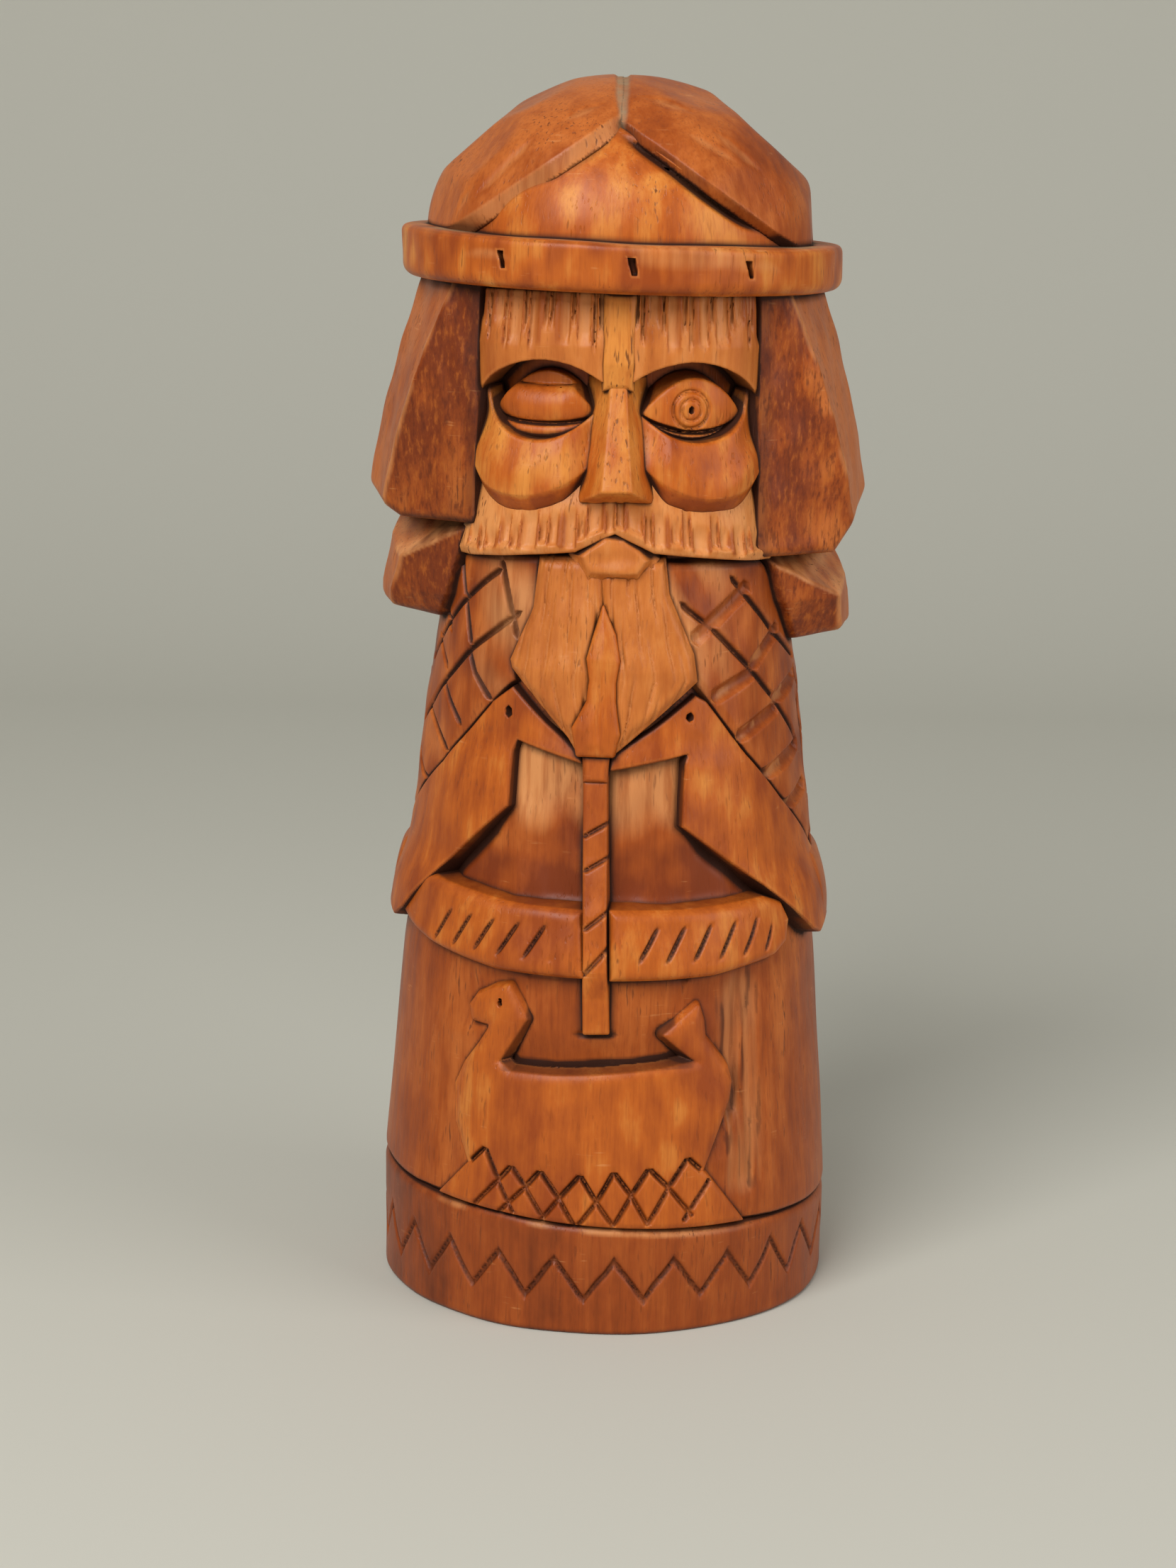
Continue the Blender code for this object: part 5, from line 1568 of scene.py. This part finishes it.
def make_wood(name, dark, base, light):
    """Stained, varnished wood with upright grain, dark pores, painted shade and dirt in the recesses, and
    worn edges.
    """
    material = bpy.data.materials.new(name)
    material.use_nodes = True
    tree = material.node_tree
    shader = tree.nodes["Principled BSDF"]
    place = tree.nodes.new("ShaderNodeTexCoord").outputs["Object"]
    shade_with_dirt, exposed, fresh, end_grain = read_marks(tree, "carve")
    tone, dust, _, _ = read_marks(tree, "stain")

    def noise(across, upright, scale, detail, roughness=0.5):
        """Noise with its coordinates stretched across and along the grain."""
        mapping = add_node(tree, "ShaderNodeMapping", Scale=(across, across, upright))
        tree.links.new(place, mapping.inputs["Vector"])
        node = add_node(tree, "ShaderNodeTexNoise", Scale=scale, Detail=detail, Roughness=roughness)
        tree.links.new(mapping.outputs["Vector"], node.inputs["Vector"])
        return Grey(tree, node.outputs["Fac"])

    patches = noise(1.0, 0.45, 42.0, 3.0)
    blotches = noise(1.0, 0.55, 150.0, 3.0, 0.6)
    streaks = noise(1.0, 0.06, 360.0, 4.0, 0.6)
    fibres = noise(1.0, 0.05, 1700.0, 2.0)
    specks = noise(1.0, 0.35, 760.0, 3.0, 0.65)
    pore_areas = noise(1.0, 0.5, 75.0, 2.0)
    pores = noise(1.0, 0.14, 1500.0, 1.0).ramp(0.62, 0.72) * pore_areas.ramp(0.40, 0.62, 0.10, 1.0)
    scratches = noise(0.10, 1.0, 1300.0, 1.0).ramp(0.68, 0.74) * blotches.ramp(0.52, 0.66, 0.0, 0.35)

    level = tone + patches.ramp(0.28, 0.72, -0.34, 0.34)
    level = level + blotches.ramp(0.28, 0.72, -0.22, 0.22) + streaks.ramp(0.30, 0.70, -0.20, 0.20)
    open_pores = level.ramp(0.45, 0.95, 0.22, 0.80).maths("MAXIMUM", fresh.ramp(0.3, 0.9, 0.0, 0.65))
    coats = [
        (level.ramp(0.0, 0.5), base),
        (level.ramp(0.5, 1.0), light),
        (fibres.ramp(0.50, 0.72, 0.0, 0.32), dark),
        (end_grain * specks.ramp(0.48, 0.34, 0.0, 0.66), END_GRAIN_DARK),
        (end_grain * specks.ramp(0.53, 0.68, 0.0, 0.68), END_GRAIN_LIGHT),
        (fresh.ramp(0.05, 0.9, 0.0, 0.85) * streaks.ramp(0.34, 0.56, 0.45, 1.0), FRESH_CUT),
        (exposed.ramp(0.25, 0.80, 0.0, 0.60), WORN_EDGE),
        (scratches, FRESH_CUT),
        # Painted shade and dirt, weaker on fresh cuts
        (shade_with_dirt.ramp(0.14, 0.62, 0.0, 0.96) * fresh.ramp(0.0, 1.0, 1.0, 0.45), SHADE_AND_DIRT),
        (pores * open_pores, PORE),
        (dust * blotches.ramp(0.3, 0.6, 0.35, 0.85), DUST),
    ]
    colour = dark
    for share, paint in coats:
        colour = tint(tree, share, colour, paint)
    tree.links.new(colour, shader.inputs["Base Color"])

    dullness = streaks.ramp(0.3, 0.7, 0.34, 0.46) + shade_with_dirt.ramp(0.2, 0.7, 0.0, 0.3) + dust * 0.3
    tree.links.new(dullness.socket, shader.inputs["Roughness"])
    shader.inputs["Specular IOR Level"].default_value = 0.24

    height = fibres * 0.35 + pores * -1.0 + streaks * 0.5 + specks * end_grain * 0.8
    bump = add_node(tree, "ShaderNodeBump", Strength=0.4, Distance=0.00025)
    tree.links.new(height.socket, bump.inputs["Height"])
    tree.links.new(bump.outputs["Normal"], shader.inputs["Normal"])
    return material


# Dark, base and light stain of each slot
STAINS = {
    "dark_wood": ((0.15, 0.028, 0.005), (0.29, 0.056, 0.008), (0.40, 0.092, 0.014)),
    "mid_wood": ((0.20, 0.034, 0.005), (0.34, 0.068, 0.008), (0.50, 0.130, 0.022)),
    "gold_wood": ((0.30, 0.055, 0.007), (0.48, 0.108, 0.011), (0.66, 0.235, 0.040)),
    "pale_wood": ((0.38, 0.090, 0.014), (0.55, 0.165, 0.030), (0.67, 0.260, 0.075)),
}
WOODS = {slot: make_wood(slot + "_look", *stains) for slot, stains in STAINS.items()}
SLOT_OF = {item["node"]: item["material_slot"] for item in frame["record"]["subparts"]}

for carved in PIECES.values():
    piece_object = make_mesh(carved)
    piece_object.data.materials.append(WOODS[SLOT_OF[carved.name]])
    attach(piece_object, "root")
    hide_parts(carved.name)

# Studio

# The floor, the camera's place and the lights' aim in metres, angles in degrees, the lens in millimetres
FLOOR_HALF = 2.4
FLOOR_FRONT = -1.6
FLOOR_BEND = 0.75
BEND_RADIUS = 0.45
BEND_STEPS = 12
WALL_TOP = 2.4
CAMERA_PLACE = (-0.006, -0.80, 0.298)
CAMERA_PITCH = 12.2
CAMERA_ROLL = 1.05
CAMERA_LENS = 74.6
LIGHT_AIM = (0.0, 0.0, 0.16)


def make_floor():
    """Pale seamless floor that curves up behind the figure."""
    profile = [(FLOOR_FRONT, 0.0), (FLOOR_BEND, 0.0)]
    for step in range(1, BEND_STEPS + 1):
        turn = 0.5 * math.pi * step / BEND_STEPS
        profile.append((FLOOR_BEND + BEND_RADIUS * math.sin(turn), BEND_RADIUS * (1.0 - math.cos(turn))))
    profile.append((FLOOR_BEND + BEND_RADIUS, WALL_TOP))
    mesh = bpy.data.meshes.new("floor")
    vertices = [(x, y, z) for y, z in profile for x in (-FLOOR_HALF, FLOOR_HALF)]
    faces = [(2 * row, 2 * row + 1, 2 * row + 3, 2 * row + 2) for row in range(len(profile) - 1)]
    mesh.from_pydata(vertices, [], faces)
    mesh.shade_smooth()
    material = bpy.data.materials.new("pale_floor")
    material.use_nodes = True
    shader = material.node_tree.nodes["Principled BSDF"]
    shader.inputs["Base Color"].default_value = (0.56, 0.55, 0.48, 1.0)
    shader.inputs["Roughness"].default_value = 0.85
    mesh.materials.append(material)
    floor = new_object("floor", mesh)


def add_light(name, place, size, power):
    """Soft square light at a place, aimed at the figure's middle."""
    light = bpy.data.lights.new(name, "AREA")
    light.size = size
    light.energy = power
    obj = new_object(name, light)
    away = [here - aim for here, aim in zip(place, LIGHT_AIM)]
    flat = math.hypot(away[0], away[1])
    obj.rotation_euler = (math.atan2(flat, away[2]), 0.0, math.atan2(away[0], -away[1]))
    obj.location = place


def make_camera():
    """Camera at the photo's angle: a little above the figure and turned slightly."""
    camera = bpy.data.cameras.new("camera")
    camera.sensor_fit = "VERTICAL"
    camera.sensor_height = 36.0
    camera.lens = CAMERA_LENS
    obj = new_object("camera", camera)
    pitch = Matrix.Rotation(math.radians(90.0 - CAMERA_PITCH), 4, "X")
    roll = Matrix.Rotation(math.radians(CAMERA_ROLL), 4, "Z")
    obj.matrix_world = Matrix.Translation(CAMERA_PLACE) @ pitch @ roll
    bpy.context.scene.camera = obj


make_floor()
add_light("key", (-0.55, -1.10, 1.15), 0.9, 22.0)
add_light("fill", (1.2, -0.7, 0.7), 1.0, 8.0)
make_camera()
scene = bpy.context.scene
scene.view_settings.view_transform = "Standard"
scene.world = bpy.data.worlds.new("studio")
scene.world.use_nodes = True
backdrop = scene.world.node_tree.nodes["Background"]
backdrop.inputs["Color"].default_value = (1.0, 0.99, 0.96, 1.0)
backdrop.inputs["Strength"].default_value = 0.28
